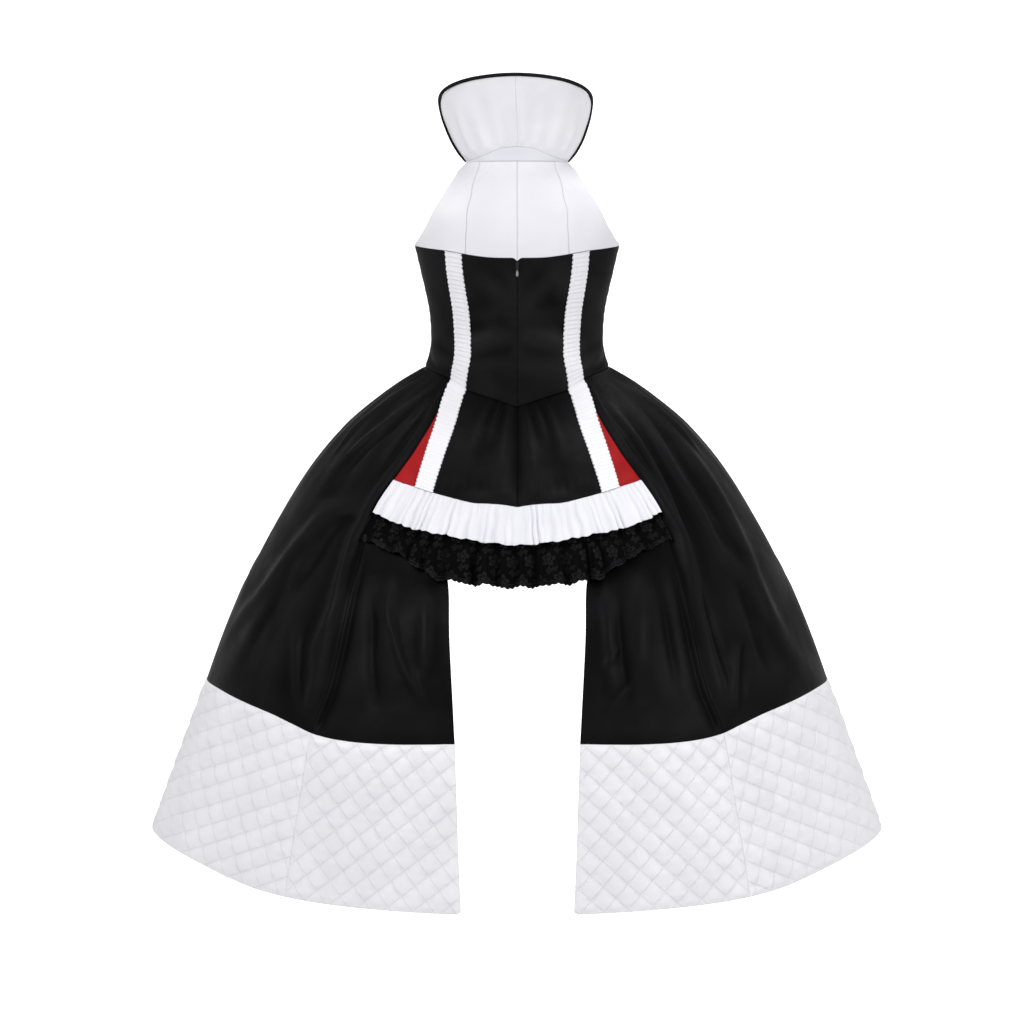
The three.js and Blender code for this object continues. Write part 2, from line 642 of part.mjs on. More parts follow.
// Ruched trims, one down each seam from the bodice's top edge to the flounce
function buildTrims() {
  const clear = clothHalf + 0.6;
  const body = 1.3;
  const ruche = 1.5;
  const centreline = (place, onTorso) => (onTorso ? bodiceSeam(place) : skirtSeam(place));
  const base = (across, v, out) => {
    const onTorso = v <= 1;
    const span = across * trimHalfWidth;
    let place = onTorso ? lerp(200, -10, v) : lerp(0, peplumHem, v - 1);
    let angle = 0;
    for (let pass = 0; pass < 6; pass += 1) {
      const radius = onTorso ? 125 : along(skirtRows, 'share', 'depth', place) + 28;
      angle = centreline(place, onTorso) + THREE.MathUtils.radToDeg(span / radius);
      place = onTorso ? lerp(bodiceTopZ(angle) - 0.4, waistZ(angle), v) : lerp(0, backHemLine(angle) - 0.001, v - 1);
    }
    return onTorso ? torsoPoint(angle, place, out) : skirtPoint(angle, place, out);
  };
  const rows = [...evenly(trimWaves.torso * 2), ...evenly(trimWaves.skirt * 2).slice(1).map((v) => v + 1)];
  const innerRows = [...evenly(10), ...evenly(8).slice(1).map((v) => v + 1)];
  const shape = [0.55, -0.35, 0.9, -0.35, 0.55]; // raised edges and middle, two stitched lines
  const columns = [0, 0.22, 0.5, 0.78, 1];
  for (const { name, sign } of sides) {
    const outer = (u, v) => {
      const waves = v <= 1 ? trimWaves.torso : trimWaves.skirt;
      const crest = Math.cos(2 * Math.PI * waves * (v <= 1 ? v : v - 1));
      const edge = Math.abs(2 * u - 1) > 0.9 ? 1 + 0.08 * crest : 1;
      const lift = ruche * shape[columns.indexOf(u)] * (0.55 + 0.45 * crest);
      return mirrored(base((2 * u - 1) * edge, v, clear + body + lift), sign);
    };
    const inner = (u, v) => mirrored(base((2 * u - 1) * 0.97, v, clear), sign);
    add(`trim_${name}`, wallGeometry({ outer, inner, columns, rows, innerColumns: [0, 0.5, 1], innerRows }),
      whiteSatin);
  }
}

// Long side skirts: a back gore tucked under the flounces and a side gore gathered into the waist
function buildLongSkirts() {
  const roll = (angle, share) => {
    const past = angle - gussetSeam(share);
    const bump = Math.exp(-(((past - 2.3) / 1.5) ** 2));
    return 11 * bump * smoothstep(share, 0.0, 0.06) * (1 - smoothstep(share, 0.4, 0.62));
  };
  const sideOut = (angle, share) => {
    const past = angle - gussetSeam(share);
    return tuck(share) * Math.exp(-((past / 2.2) ** 2)) + roll(angle, share) +
      foldHeight(sideFoldRows, angle, share) * smoothstep(past, 0, 3.5);
  };
  const backOut = (angle, share) => {
    const past = Math.min(angle - slitEdge(share), gussetSeam(share) - angle);
    return tuck(share) + foldHeight(backFoldRows, angle, share) * smoothstep(past, 0, 2.5) *
      smoothstep(share, 0.3, 0.4);
  };
  const sideRows = goreShares.map((share) => share / bandTop);
  const backRows = goreShares.filter((share) => share > 0.15);
  const sideColumns = [0, 0.018, 0.036, 0.06, 0.09, 0.13];
  for (let i = 1; i <= 18; i += 1) sideColumns.push(0.13 + (0.87 * i) / 18);
  for (const { name, sign } of sides) {
    const side = between({ left: gussetSeam, right: frontEdge, bottom: () => 0, top: () => bandTop,
      guess: [0, bandTop], radius: 130, low: waistHalf });
    skirtPanel({ name: `side_gore_${name}`, finish: blackSatin, sign, domain: side, out: sideOut,
      columns: sideColumns, rows: sideRows });
    const back = between({ left: slitEdge, right: gussetSeam, bottom: () => backRows[0], top: () => bandTop,
      guess: [0.17, bandTop], radius: 300, low: 0 });
    skirtPanel({ name: `back_gore_${name}`, finish: blackSatin, sign, domain: back, out: backOut,
      columns: evenly(9), rows: backRows.map((share) => (share - backRows[0]) / (bandTop - backRows[0])) });
  }
}

// Quilted hem bands: diamonds raised on the outer face, over a plain inner face
function buildQuilts() {
  const edges = { bottom: () => bandTop, top: () => 1, guess: [bandTop, 1], radius: 450 };
  const quilt = ({ name, left, right, count, sign }) => {
    const domain = between({ ...edges, left, right });
    const face = (depth, raised) => (u, v) => {
      const [angle, share, gap] = domain(u, v);
      const i = Math.round(u * count);
      const j = Math.round(v * quiltRows);
      const rim = i === 0 || j === 0 || i === count || j === quiltRows;
      const loft = raised && !rim && (i + j) % 2 ? quiltLoft : 0;
      const point = skirtPoint(angle, share, depth + loft);
      point.z -= gap;
      return mirrored(point, sign);
    };
    add(name, wallGeometry({ outer: face(clothHalf, true), inner: face(-clothHalf, false),
      columns: evenly(count), rows: evenly(quiltRows), innerColumns: evenly(count / 2), innerRows: [0, 0.5, 1],
      split: (i, j) => (i + j) % 2 === 1 }), whiteSatin);
  };
  for (const { name, sign } of sides) {
    quilt({ name: `quilt_back_${name}`, left: slitEdge, right: gussetSeam, count: quiltColumns.back, sign });
    quilt({ name: `quilt_side_${name}`, left: gussetSeam, right: frontEdge, count: quiltColumns.side, sign });
  }
}

// Short front skirt, plain, between the front edges of the long skirts
function buildFrontSkirt() {
  const soft = (angle, share) => foldHeight(frontFoldRows, fromBack(angle), share);
  const domain = between({ left: frontEdge, right: (s) => 360 - frontEdge(s), bottom: () => 0,
    top: () => frontHem, guess: [0, frontHem], radius: 130, low: waistHalf });
  const shares = goreShares.filter((share) => share <= frontHem);
  skirtPanel({ name: 'front_skirt', finish: blackSatin, domain, out: soft, columns: evenly(18),
    rows: shares.map((share) => share / frontHem) });
}

// Zip: its tape inside the centre back seam, its slider and its swinging pull tab
function buildZip() {
  const tapeHalf = 0.6;
  const domain = between({ left: () => -6.5, right: () => 6.5, bottom: () => -36, top: () => 186,
    guess: [-36, 186], side: 0, low: 0, high: 0 });
  const face = (depth) => (u, v) => {
    const [angle, z] = domain(u, v);
    return torsoPoint(angle, z, depth - clothHalf - tapeHalf - 0.9);
  };
  add('zip_tape', wallGeometry({ outer: face(tapeHalf), inner: face(-tapeHalf), columns: evenly(2),
    rows: evenly(9) }), zipBlack);

  const sliderTop = 187.5;
  const sliderSize = { x: 5, y: 1.6, z: 8 };
  const back = torsoPoint(0, sliderTop, clothHalf).y - 0.35;
  const plate = new THREE.BoxGeometry(sliderSize.x, sliderSize.y, sliderSize.z);
  plate.translate(0, back - sliderSize.y / 2, sliderTop - sliderSize.z / 2);
  // The bridge is a bow that stands on the plate, drawn from the side and given a width along X
  const bow = { depth: 3.4, height: 5.2, wall: 0.8, width: 1.6, base: 7.2 };
  const profile = new THREE.Shape();
  profile.moveTo(-0.3, 0);
  profile.lineTo(bow.depth, 0.8);
  profile.lineTo(bow.depth, bow.height - 0.8);
  profile.lineTo(-0.3, bow.height);
  const hole = new THREE.Path();
  hole.moveTo(0.1, bow.wall + 0.2);
  hole.lineTo(0.1, bow.height - bow.wall - 0.2);
  hole.lineTo(bow.depth - bow.wall, bow.height - bow.wall - 0.6);
  hole.lineTo(bow.depth - bow.wall, bow.wall + 0.6);
  profile.holes.push(hole);
  const bridge = new THREE.ExtrudeGeometry(profile, { depth: bow.width, bevelEnabled: false });
  bridge.translate(0, 0, -bow.width / 2);
  // Shape x becomes -Y, shape y becomes Z and the extrusion runs along -X
  bridge.applyMatrix4(new THREE.Matrix4().set(0, 0, -1, 0, -1, 0, 0, 0, 0, 1, 0, 0, 0, 0, 0, 1));
  bridge.translate(0, back - sliderSize.y, sliderTop - bow.base);
  add('zip_slider', united(plate, bridge), zipMetal);

  const tab = { width: 4.4, length: 17, thick: 0.9, bar: 0.9, window: 3.4 };
  const pivot = { y: back - sliderSize.y - 1.3, z: sliderTop - bow.base + 2.3 };
  const outline = new THREE.Shape();
  const w = tab.width / 2;
  outline.moveTo(-w, tab.bar / 2);
  outline.lineTo(-w * 0.72, -tab.length * 0.6);
  outline.lineTo(-w, -tab.length * 0.82);
  outline.lineTo(-w * 0.55, -tab.length);
  outline.lineTo(w * 0.55, -tab.length);
  outline.lineTo(w, -tab.length * 0.82);
  outline.lineTo(w * 0.72, -tab.length * 0.6);
  outline.lineTo(w, tab.bar / 2);
  const window = new THREE.Path();
  window.moveTo(-1.3, -tab.bar / 2);
  window.lineTo(1.3, -tab.bar / 2);
  window.lineTo(1.15, -tab.bar / 2 - tab.window);
  window.lineTo(-1.15, -tab.bar / 2 - tab.window);
  outline.holes.push(window);
  const pull = new THREE.ExtrudeGeometry(outline, { depth: tab.thick, bevelEnabled: false });
  pull.translate(0, 0, -tab.thick / 2);
  pull.rotateX(Math.PI / 2);
  pull.translate(0, pivot.y, pivot.z);
  add('zip_pull', sealed(pull), zipMetal);
}

// Two closed meshes joined into one solid
function united(first, second) {
  const solid = (geometry) => {
    const merged = sealed(geometry);
    return new wasm.Manifold(new wasm.Mesh({ numProp: 3, vertProperties: merged.attributes.position.array,
      triVerts: new Uint32Array(merged.index.array) }));
  };
  const mesh = solid(first).add(solid(second)).getMesh();
  const geometry = new THREE.BufferGeometry();
  geometry.setAttribute('position', new THREE.BufferAttribute(new Float32Array(mesh.vertProperties), 3));
  geometry.setIndex([...mesh.triVerts]);
  return geometry;
}

buildCollar();
buildNeckband();
buildYoke();
buildBodice();
buildTrims();
buildBackSkirt();
buildFlounce();
buildLace();
buildLongSkirts();
buildQuilts();
buildFrontSkirt();
buildZip();

export default costume;
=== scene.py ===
import bpy
import numpy as np
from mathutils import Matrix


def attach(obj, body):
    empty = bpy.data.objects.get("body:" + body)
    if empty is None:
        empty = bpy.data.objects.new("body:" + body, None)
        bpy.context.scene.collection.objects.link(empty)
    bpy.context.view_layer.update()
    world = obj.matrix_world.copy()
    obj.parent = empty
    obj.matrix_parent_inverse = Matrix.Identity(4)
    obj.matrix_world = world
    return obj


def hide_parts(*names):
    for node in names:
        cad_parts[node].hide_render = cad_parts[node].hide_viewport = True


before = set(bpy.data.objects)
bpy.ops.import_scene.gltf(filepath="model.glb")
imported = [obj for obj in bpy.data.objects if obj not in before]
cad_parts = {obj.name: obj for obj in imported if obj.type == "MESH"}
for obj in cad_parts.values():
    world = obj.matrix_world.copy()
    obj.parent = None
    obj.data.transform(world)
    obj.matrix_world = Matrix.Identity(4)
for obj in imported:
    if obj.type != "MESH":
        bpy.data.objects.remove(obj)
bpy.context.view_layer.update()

print("frame: loaded", len(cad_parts), "nodes")

# Forms. Sizes are in millimetres until a mesh is made. The rows are those of the part's own source, apart
# from the gores' lower seam and the yoke's seams, which follow the photograph more closely here.
# An angle of 0 is the centre back, 90 the wearer's right side and 180 the centre front.
clothHalf = 1.0  # half the cloth's thickness
seamHalf = -0.1  # half a seam's gap: below 0, as the cloth that shows laps where the part leaves 0.3
collarLean = 2.6  # how far the collar's top leans to the left
hemZ = -767
skirtFall = 745  # from the waist to the hem; a share of it says how far down the skirt a place is
backHem = 0.186
flounceHem = 0.26
frontHem = 0.26
bandTop = 0.667  # where the long gores end and their quilted bands start
# How far the horizontal seams and the long hem hang below their level
seamDropTable = {"angle": [0, 4, 8, 12, 18, 23, 29.5, 40], "drop": [6, 5, 6.2, 8, 5.4, 2.6, -1.4, -4.4]}
flounceDropTable = {"angle": [0, 9, 19, 25, 30, 34, 40], "drop": [5, 4.8, 1.2, -0.4, -3.8, -7.5, -13]}
bandDropTable = {"angle": [8, 11, 15, 22, 30, 37, 42, 49, 61, 71, 79, 88, 98, 116],
                 "drop": [0, 0, 3, 8, 11, 9, 2, -6, -11.5, -12.5, -9, -3, 0, 0]}
hemDropTable = {
    "angle": [0, 12, 20, 30, 36, 42, 48, 55, 64, 74, 84, 94, 116],
    "drop": [6.5, 7.6, 7.4, 6.8, 4.8, 0.5, -7.5, -16, -22, -23, -18, -12, -8],
}
torsoTable = {
    "z": [-60, 12, 24, 40, 56, 72, 105, 137, 170, 208, 240, 270, 300, 315, 325, 335, 347],
    "halfWidth": [149, 149, 146, 141.5, 139.8, 139.8, 142.4, 148.8, 156.4, 165.2, 174, 173, 148, 125, 107,
                  90.5, 79.5],
    "back": [97, 97, 96, 94, 93, 93, 96, 100, 104, 108, 108, 104, 93, 84, 76, 69, 62.5],
    "front": [97, 97, 96, 95, 95, 97, 104, 115, 127, 129, 118, 102, 88, 80, 75, 70, 63.5],
}
skirtTable = {
    "share": [0, 0.03, 0.07, 0.12, 0.2, 0.3, 0.42, 0.56, 0.7, 0.85, 1],
    "halfWidth": [149, 189, 231, 276, 330, 383, 434, 482, 525, 567, 607],
    "depth": [97, 122, 158, 200, 258, 320, 371, 409, 437, 459, 477],
}
collarTable = {
    "rise": [0, 18, 36, 64, 90, 115, 135],
    "side": [0, 13, 23, 33.5, 40.5, 49.5, 58],
    "back": [0, 8, 15.5, 27, 37, 48, 56],
}
waistTable = {"angle": [0, 16, 33, 47.4, 65, 90, 180], "z": [-45, -31.6, -18.6, -2, 7, 11.5, 8]}
bodiceTopTable = {"angle": [0, 14, 23, 33, 47, 90, 180], "z": [194.6, 194.9, 197.2, 200.9, 205.5, 209.7, 204]}
neckTable = {"angle": [0, 50, 90, 130, 180], "z": [347, 346, 342, 338.5, 333]}
collarBaseTable = {"angle": [0, 18, 34, 50, 70, 90], "z": [370, 367.5, 359.5, 352.8, 348, 345]}
bodiceSeamTable = {
    "z": [-12, 21, 50, 74, 110, 142, 174, 203],
    "angle": [39.3, 37.6, 38.1, 38.6, 38.9, 39.3, 39.2, 38.2],
}
yokeSeamTable = {
    "z": [198, 221, 247, 286, 300, 317, 335, 347],
    "angle": [30.6, 29, 27.3, 27.6, 29.3, 34.5, 43, 49],
}
armholeTable = {
    "z": [209.7, 219, 235, 251, 267, 283, 300, 315, 325, 335],
    "angle": [90, 73, 61, 54.5, 50.8, 49.5, 50.5, 57, 67, 90],
}
skirtSeamTable = {
    "share": [0, 0.011, 0.0225, 0.056, 0.109, 0.186],
    "angle": [39.3, 37.4, 35.1, 31.1, 28.4, 26.9],
}
gussetSeamTable = {
    "share": [0, 0.02, 0.052, 0.116, 0.183, 0.251, 0.302, 0.43, 0.58, 0.67, 0.81, 1],
    "angle": [46.5, 41.5, 37, 35.7, 37.6, 39, 39.7, 37, 36.2, 37.6, 36.9, 36],
}
slitTable = {"share": [0.16, 0.22, 0.357, 0.462, 0.667, 1], "angle": [27, 22.2, 15.45, 13.3, 10.6, 8.05]}
frontEdgeTable = {"share": [0, 1], "angle": [112, 116]}
laceHemTable = {"angle": [0, 17, 21, 25, 30, 40], "share": [0.348, 0.345, 0.333, 0.318, 0.306, 0.294]}
tuckTable = {"share": [0, 0.12, 0.165, 0.2, 0.26, 0.34, 0.43, 1], "depth": [0, 0, -5.4, -9, -11, -11, 0, 0]}
laceTable = {
    "share": [0.172, 0.186, 0.26, 0.31, 0.36],
    "depth": [-2.4, -2.6, -3.7, 1, 4],
    "wave": [0, 0.2, 1.8, 5.5, 7.5],
}
collarEdgeTable = {
    "angle": [90, 90, 90, 89, 86.5, 82, 76, 68, 59, 48, 36, 24, 12, 0],
    "z": [345.5, 364, 386, 404, 420, 433.5, 444, 453, 460.5, 468, 474.5, 479, 481.8, 482.8],
}
# Folds: top and bottom angles, from and to shares, the bow between them, width in degrees, height
sideFolds = [
    (52, 45.5, 0, 0.26, -2.5, 2.4, 8), (60.5, 51, 0, 0.3, -4, 3, 10), (71, 65, 0, 0.34, -4, 3.4, 9),
    (80, 84, 0, 0.3, -1.5, 3.6, 4), (93, 97, 0, 0.4, 0, 4, 4), (103, 106, 0, 0.5, 0, 3.8, 8),
    (42.5, 41, 0.34, 0.69, 0, 2.6, 10), (49, 69, 0.28, 0.69, 3, 3.8, 13), (50, 51.5, 0.38, 0.69, 0, 3.4, 8),
    (81, 80, 0.4, 0.69, 0, 5, 5), (98, 100, 0.36, 0.69, 0, 4.6, 7),
]
backFolds = [(28, 13.5, 0.22, 0.66, -2, 2.6, 8), (33, 19, 0.24, 0.69, -1, 2.8, 8)]
peplumFolds = [(4.5, 5.5, 0, 0.17, 0, 2, 5), (10, 11, 0, 0.1, 0, 2, 3.5), (16, 15.5, 0, 0.15, 0, 2.2, 3.5)]
frontFolds = [(128, 130, 0, 0.3, 0, 4, 6), (145, 147, 0, 0.3, 0, 4, 6), (163, 163, 0, 0.3, 0, 4, 6)]


def along(table, key, column, at):
    # a cubic through the table's rows, each row's slope taken from its two neighbours
    x = np.asarray(table[key], float)
    y = np.asarray(table[column], float)
    ends = [(y[1] - y[0]) / (x[1] - x[0]), (y[-1] - y[-2]) / (x[-1] - x[-2])]
    slope = np.concatenate([ends[:1], (y[2:] - y[:-2]) / (x[2:] - x[:-2]), ends[1:]])
    at = np.clip(at, x[0], x[-1])
    i = np.clip(np.searchsorted(x, at, side="right") - 1, 0, len(x) - 2)
    span = x[i + 1] - x[i]
    s = (at - x[i]) / span
    low = (2 * s**3 - 3 * s**2 + 1) * y[i] + (s**3 - 2 * s**2 + s) * span * slope[i]
    return low + (3 * s**2 - 2 * s**3) * y[i + 1] + (s**3 - s**2) * span * slope[i + 1]


def ease(x, low, high):
    # 0 below low, 1 above high and a smooth step between
    s = np.clip((x - low) / (high - low), 0, 1)
    return s * s * (3 - 2 * s)


def bump(x, width):
    # a bell of height 1
    return np.exp(-((x / width) ** 2))


def fromBack(angle):
    # the angle counted from the centre back, the same on both sides
    turned = np.mod(angle, 360)
    return np.minimum(turned, 360 - turned)


def waistZ(angle):
    # height of the waist seam, lowest at the point of the centre back
    return along(waistTable, "angle", "z", fromBack(angle))


def neckZ(angle):
    # height of the neck seam
    return along(neckTable, "angle", "z", fromBack(angle))


def collarBaseZ(angle):
    # height of the collar's seam, above the neckband at the back
    return along(collarBaseTable, "angle", "z", fromBack(angle))


def bodiceTopZ(angle):
    # the bodice's top edge, with the nick where the zip ends
    return along(bodiceTopTable, "angle", "z", fromBack(angle)) - 5 * bump(fromBack(angle), 1.3)


def onEllipse(angle, halfWidth, depth, z, out):
    # a point on a level ellipse, moved straight out by out
    r = np.radians(angle)
    return np.stack([(halfWidth + out) * np.sin(r), -(depth + out) * np.cos(r), z + 0 * r], axis=-1)


def torsoForm(angle, z, out):
    # an ellipse at each level, deeper at the bust
    depths = [along(torsoTable, "z", side, z) for side in ("front", "back")]
    depth = np.where(np.cos(np.radians(angle)) < 0, *depths)
    return onEllipse(angle, along(torsoTable, "z", "halfWidth", z), depth, z, out)


def skirtForm(angle, share, out):
    # widens from the waist seam to the hem, which rises towards the sides within the band
    halfWidth = along(skirtTable, "share", "halfWidth", share)
    depth = along(skirtTable, "share", "depth", share)
    start = waistZ(angle)
    inBand = np.clip((share - bandTop) / (1 - bandTop), 0, 1)
    drop = inBand**1.4 * along(hemDropTable, "angle", "drop", fromBack(angle))
    return onEllipse(angle, halfWidth, depth, start + (hemZ - start) * share - drop, out)


def collarForm(angle, z, out):
    # flares from the neck ring with the height above its base, and leans a little to the left
    rise = z - collarBaseZ(angle)
    halfWidth = torsoTable["halfWidth"][-1] + along(collarTable, "rise", "side", rise)
    depth = torsoTable["back"][-1] + along(collarTable, "rise", "back", rise)
    place = onEllipse(angle, halfWidth, depth, z, out)
    place[..., 0] -= collarLean * ease(rise, 10, 110)
    return place


def folds(rows, angle, share):
    # soft ridges: each runs between two places, bowed, and dies away at its ends
    height = np.zeros(np.broadcast(angle, share).shape)
    for top, bottom, start, end, bow, width, rise in rows:
        s = (share - start) / (end - start)
        centre = top + (bottom - top) * s + bow * np.sin(np.pi * np.clip(s, 0, 1))
        fade = 0.3 + 0.7 * ease(s, 0, 0.3) if start == 0 else ease(s, 0, 0.25)
        inside = (s >= 0) & (s < 1)
        height += inside * rise * fade * (1 - ease(s, 0.45, 1)) * bump(angle - centre, width)
    return height


def between(left, right, bottom, top, guess, radius=100, side=seamHalf, low=seamHalf, high=seamHalf):
    # the place for u and v inside four edges, found in passes, then drawn in by half a seam's gap
    def place(u, v):
        at = guess[0] + (guess[1] - guess[0]) * v + 0 * u
        for step in range(8):
            angle = left(at) + (right(at) - left(at)) * u
            at = bottom(angle) + (top(angle) - bottom(angle)) * v
        inset = np.degrees(side / radius) * (1 - 2 * u) * np.sign(right(at) - left(at))
        return angle + inset, at, low * (1 - v) - high * v

    return place


def level(value):
    # an edge that keeps one value
    return lambda x: value + 0 * x


def backHemLine(angle):
    # the share of the back skirt's hem seam, which dips and lifts a little from side to side
    return backHem + along(seamDropTable, "angle", "drop", fromBack(angle)) / skirtFall


def flounceHemLine(angle):
    # the share of the flounce's hem, which hangs lowest in the middle
    return flounceHem + along(flounceDropTable, "angle", "drop", fromBack(angle)) / skirtFall


def bandTopLine(angle):
    # the share of the seam between the long gores and the quilted bands
    return bandTop + along(bandDropTable, "angle", "drop", fromBack(angle)) / skirtFall


def edgeLine(table, key):
    # an edge that runs down a table's rows: its angle at each height or share
    return lambda at: along(table, key, "angle", at)


bodiceSeam = edgeLine(bodiceSeamTable, "z")
yokeSeam = edgeLine(yokeSeamTable, "z")
skirtSeam = edgeLine(skirtSeamTable, "share")
gussetSeam = edgeLine(gussetSeamTable, "share")
slitEdge = edgeLine(slitTable, "share")
frontEdge = edgeLine(frontEdgeTable, "share")


def armhole(z):
    # the armhole's edge, which ends at the wearer's side
    return np.where(z > armholeTable["z"][-1], 90, along(armholeTable, "z", "angle", z))


def tuck(share):
    # how far the gores lie in under the short skirt's hem
    return along(tuckTable, "share", "depth", share)


def spaced(length, step, near=(0, 0.3, 0.9, 1.8, 3.2)):
    # shares of a length: even steps, with finer ones by both ends
    ends = np.array(near) / length
    middle = np.linspace(ends[-1], 1 - ends[-1], max(int(length / step), 4))
    return np.concatenate([ends[:-1], middle, (1 - ends[:-1])[::-1]])


# Meshes
def runLengths(grid, axis):
    # how far each point lies along the grid's lines, in the grid's own unit
    steps = np.linalg.norm(np.diff(grid, axis=axis), axis=-1)
    start = np.zeros_like(np.take(steps, [0], axis=axis))
    return np.cumsum(np.concatenate([start, steps], axis=axis), axis=axis)


def wallOf(nearest, half):
    # half the cloth's thickness, rounded off within that distance of an edge
    s = np.clip(1 - nearest / half, 0, 0.97)
    return half * np.sqrt(1 - s * s)


def facingOut(points, faces):
    # the same faces, turned round if the volume that they enclose is below 0
    a, b, c, d = (points[faces[:, k]] for k in range(4))
    volume = np.sum(a * np.cross(b, c)) + np.sum(a * np.cross(c, d))
    return faces[:, ::-1] if volume < 0 else faces


def meshFromGrids(name, outer, inner, uv, finish, extra=None, values=None):
    # a closed wall: two grids of points and a rim of faces round their edges
    nu, nv = outer.shape[:2]
    index = np.arange(nu * nv).reshape(nu, nv)

    def quads(grid):
        corners = [grid[:-1, :-1], grid[1:, :-1], grid[1:, 1:], grid[:-1, 1:]]
        return np.stack(corners, axis=-1).reshape(-1, 4)

    ring = np.concatenate([index[:-1, 0], index[-1, :-1], index[:0:-1, -1], index[0, :0:-1]])
    after = np.roll(ring, -1)
    rim = np.stack([after, ring, ring + nu * nv, after + nu * nv], axis=-1)
    points = np.concatenate([outer.reshape(-1, 3), inner.reshape(-1, 3)]) / 1000
    faces = facingOut(points, np.concatenate([quads(index), quads(index)[:, ::-1] + nu * nv, rim]))
    maps = {"cloth": np.concatenate([uv.reshape(-1, 2)] * 2)}
    for key, value in (extra or {}).items():
        maps[key] = np.concatenate([value.reshape(-1, 2)] * 2)
    scalars = {key: np.concatenate([value.reshape(-1)] * 2) for key, value in (values or {}).items()}
    return meshObject(name, points, faces, maps, scalars, finish)


def meshObject(name, points, faces, maps, scalars, finish):
    # a smooth mesh from whole arrays, with its maps and values, linked into the scene
    mesh = bpy.data.meshes.new(name)
    sides = faces.shape[1]
    mesh.vertices.add(len(points))
    mesh.vertices.foreach_set("co", points.astype(np.float32).ravel())
    mesh.loops.add(faces.size)
    mesh.loops.foreach_set("vertex_index", faces.astype(np.int32).ravel())
    mesh.polygons.add(len(faces))
    mesh.polygons.foreach_set("loop_start", np.arange(0, faces.size, sides, dtype=np.int32))
    for key, value in maps.items():
        layer = mesh.uv_layers.new(name=key)
        layer.data.foreach_set("uv", value[faces.ravel()].astype(np.float32).ravel())
    for key, value in scalars.items():
        layer = mesh.attributes.new(key, "FLOAT", "POINT")
        layer.data.foreach_set("value", value.astype(np.float32))
    mesh.update(calc_edges=True)
    mesh.validate()
    mesh.polygons.foreach_set("use_smooth", np.ones(len(faces), bool))
    mesh.set_sharp_from_angle(angle=np.radians(70))
    mesh.materials.append(finish)
    piece = bpy.data.objects.new(name, mesh)
    bpy.context.scene.collection.objects.link(piece)
    return piece


fullSwell = 2.2  # the height in millimetres that counts as 1


def swellOf(relief, reach=9):
    # how far each place stands out from the mean of its neighbours across and down, from -1 to 1, for the
    # satin's painted highlight and shade
    mean = relief
    for axis in "across", "down":
        mean = mean.T
        padded = np.concatenate([mean[:1].repeat(reach, 0), mean, mean[-1:].repeat(reach, 0)])
        total = np.concatenate([0 * padded[:1], np.cumsum(padded, axis=0)])
        mean = (total[2 * reach + 1:] - total[: -2 * reach - 1]) / (2 * reach + 1)
    return np.clip((relief - mean) / fullSwell, -1, 1)


def cloth(node, place, form, relief, u, v, finish, sign=1, lift=1, quilt=None):
    # a thin wall on a form: relief moves its middle out, and its edges are rounded over half its thickness
    gridU, gridV = np.meshgrid(u, v, indexing="ij")
    angle, at, gap = place(gridU, gridV)
    plain = form(angle, at, 0 * angle)
    across = runLengths(plain, 0)
    down = runLengths(plain, 1)
    edges = {"left": across, "right": across[-1:] - across, "start": down, "end": down[:, -1:] - down}
    middle = relief(angle, at, edges)
    raised, cells = 0, None
    if quilt:
        cells = {"quilt": quiltCells(angle, at, *quilt)}
        raised = quiltRelief(cells["quilt"], edges, angle)
    nearest = np.minimum.reduce(list(edges.values()))
    wall = wallOf(nearest, clothHalf)
    faces = []
    for out in (middle + raised + wall, middle - wall):
        face = form(angle, at, out)
        face[..., 2] += gap * lift
        face[..., 0] *= sign
        faces.append(face)
    centre = form(angle, at, middle)
    uv = np.stack([runLengths(centre, 0).mean(axis=1)[:, None] + 0 * down,
                   runLengths(centre, 1).mean(axis=0)[None, :] + 0 * down], axis=-1) / 1000
    # edge feeds the painted shade along seams and edges, swell the painted highlight and shade
    values = {"edge": nearest, "swell": swellOf(middle + 0 * down)}
    piece = meshFromGrids(node + "_cloth", *faces, uv, finish, cells, values)
    finishPiece(piece, node)
    return piece


def finishPiece(piece, node):
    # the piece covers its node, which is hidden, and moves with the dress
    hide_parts(node)
    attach(piece, "dress")


# Node groups and materials
def newGroup(name, inputs, outputs):
    # an empty node group with its named sockets
    group = bpy.data.node_groups.new(name, "ShaderNodeTree")
    for label, kind, value in inputs:
        made = group.interface.new_socket(name=label, in_out="INPUT", socket_type=kind)
        if value is not None:
            made.default_value = value
    for label, kind in outputs:
        group.interface.new_socket(name=label, in_out="OUTPUT", socket_type=kind)
    return group, group.nodes.new("NodeGroupInput"), group.nodes.new("NodeGroupOutput")


def feed(tree, socket, value):
    # a socket takes a link or a fixed value
    if isinstance(value, bpy.types.NodeSocket):
        tree.links.new(value, socket)
    else:
        socket.default_value = value


def calc(tree, operation, a, b=0.0, c=0.0):
    # one arithmetic node
    node = tree.nodes.new("ShaderNodeMath")
    node.operation = operation
    for socket, value in zip(node.inputs, (a, b, c)):
        feed(tree, socket, value)
    return node.outputs[0]


def plus(tree, a, b):
    # a + b
    return calc(tree, "ADD", a, b)


def minus(tree, a, b):
    # a - b
    return calc(tree, "SUBTRACT", a, b)


def times(tree, a, b):
    # a * b
    return calc(tree, "MULTIPLY", a, b)


def absolute(tree, a):
    # a without its sign
    return calc(tree, "ABSOLUTE", a)


def parts(tree, vector):
    # a vector's three numbers
    node = tree.nodes.new("ShaderNodeSeparateXYZ")
    feed(tree, node.inputs[0], vector)
    return node.outputs[0], node.outputs[1], node.outputs[2]


def joined(tree, x, y, z=0.0):
    # three numbers as one vector
    node = tree.nodes.new("ShaderNodeCombineXYZ")
    for socket, value in zip(node.inputs, (x, y, z)):
        feed(tree, socket, value)
    return node.outputs[0]


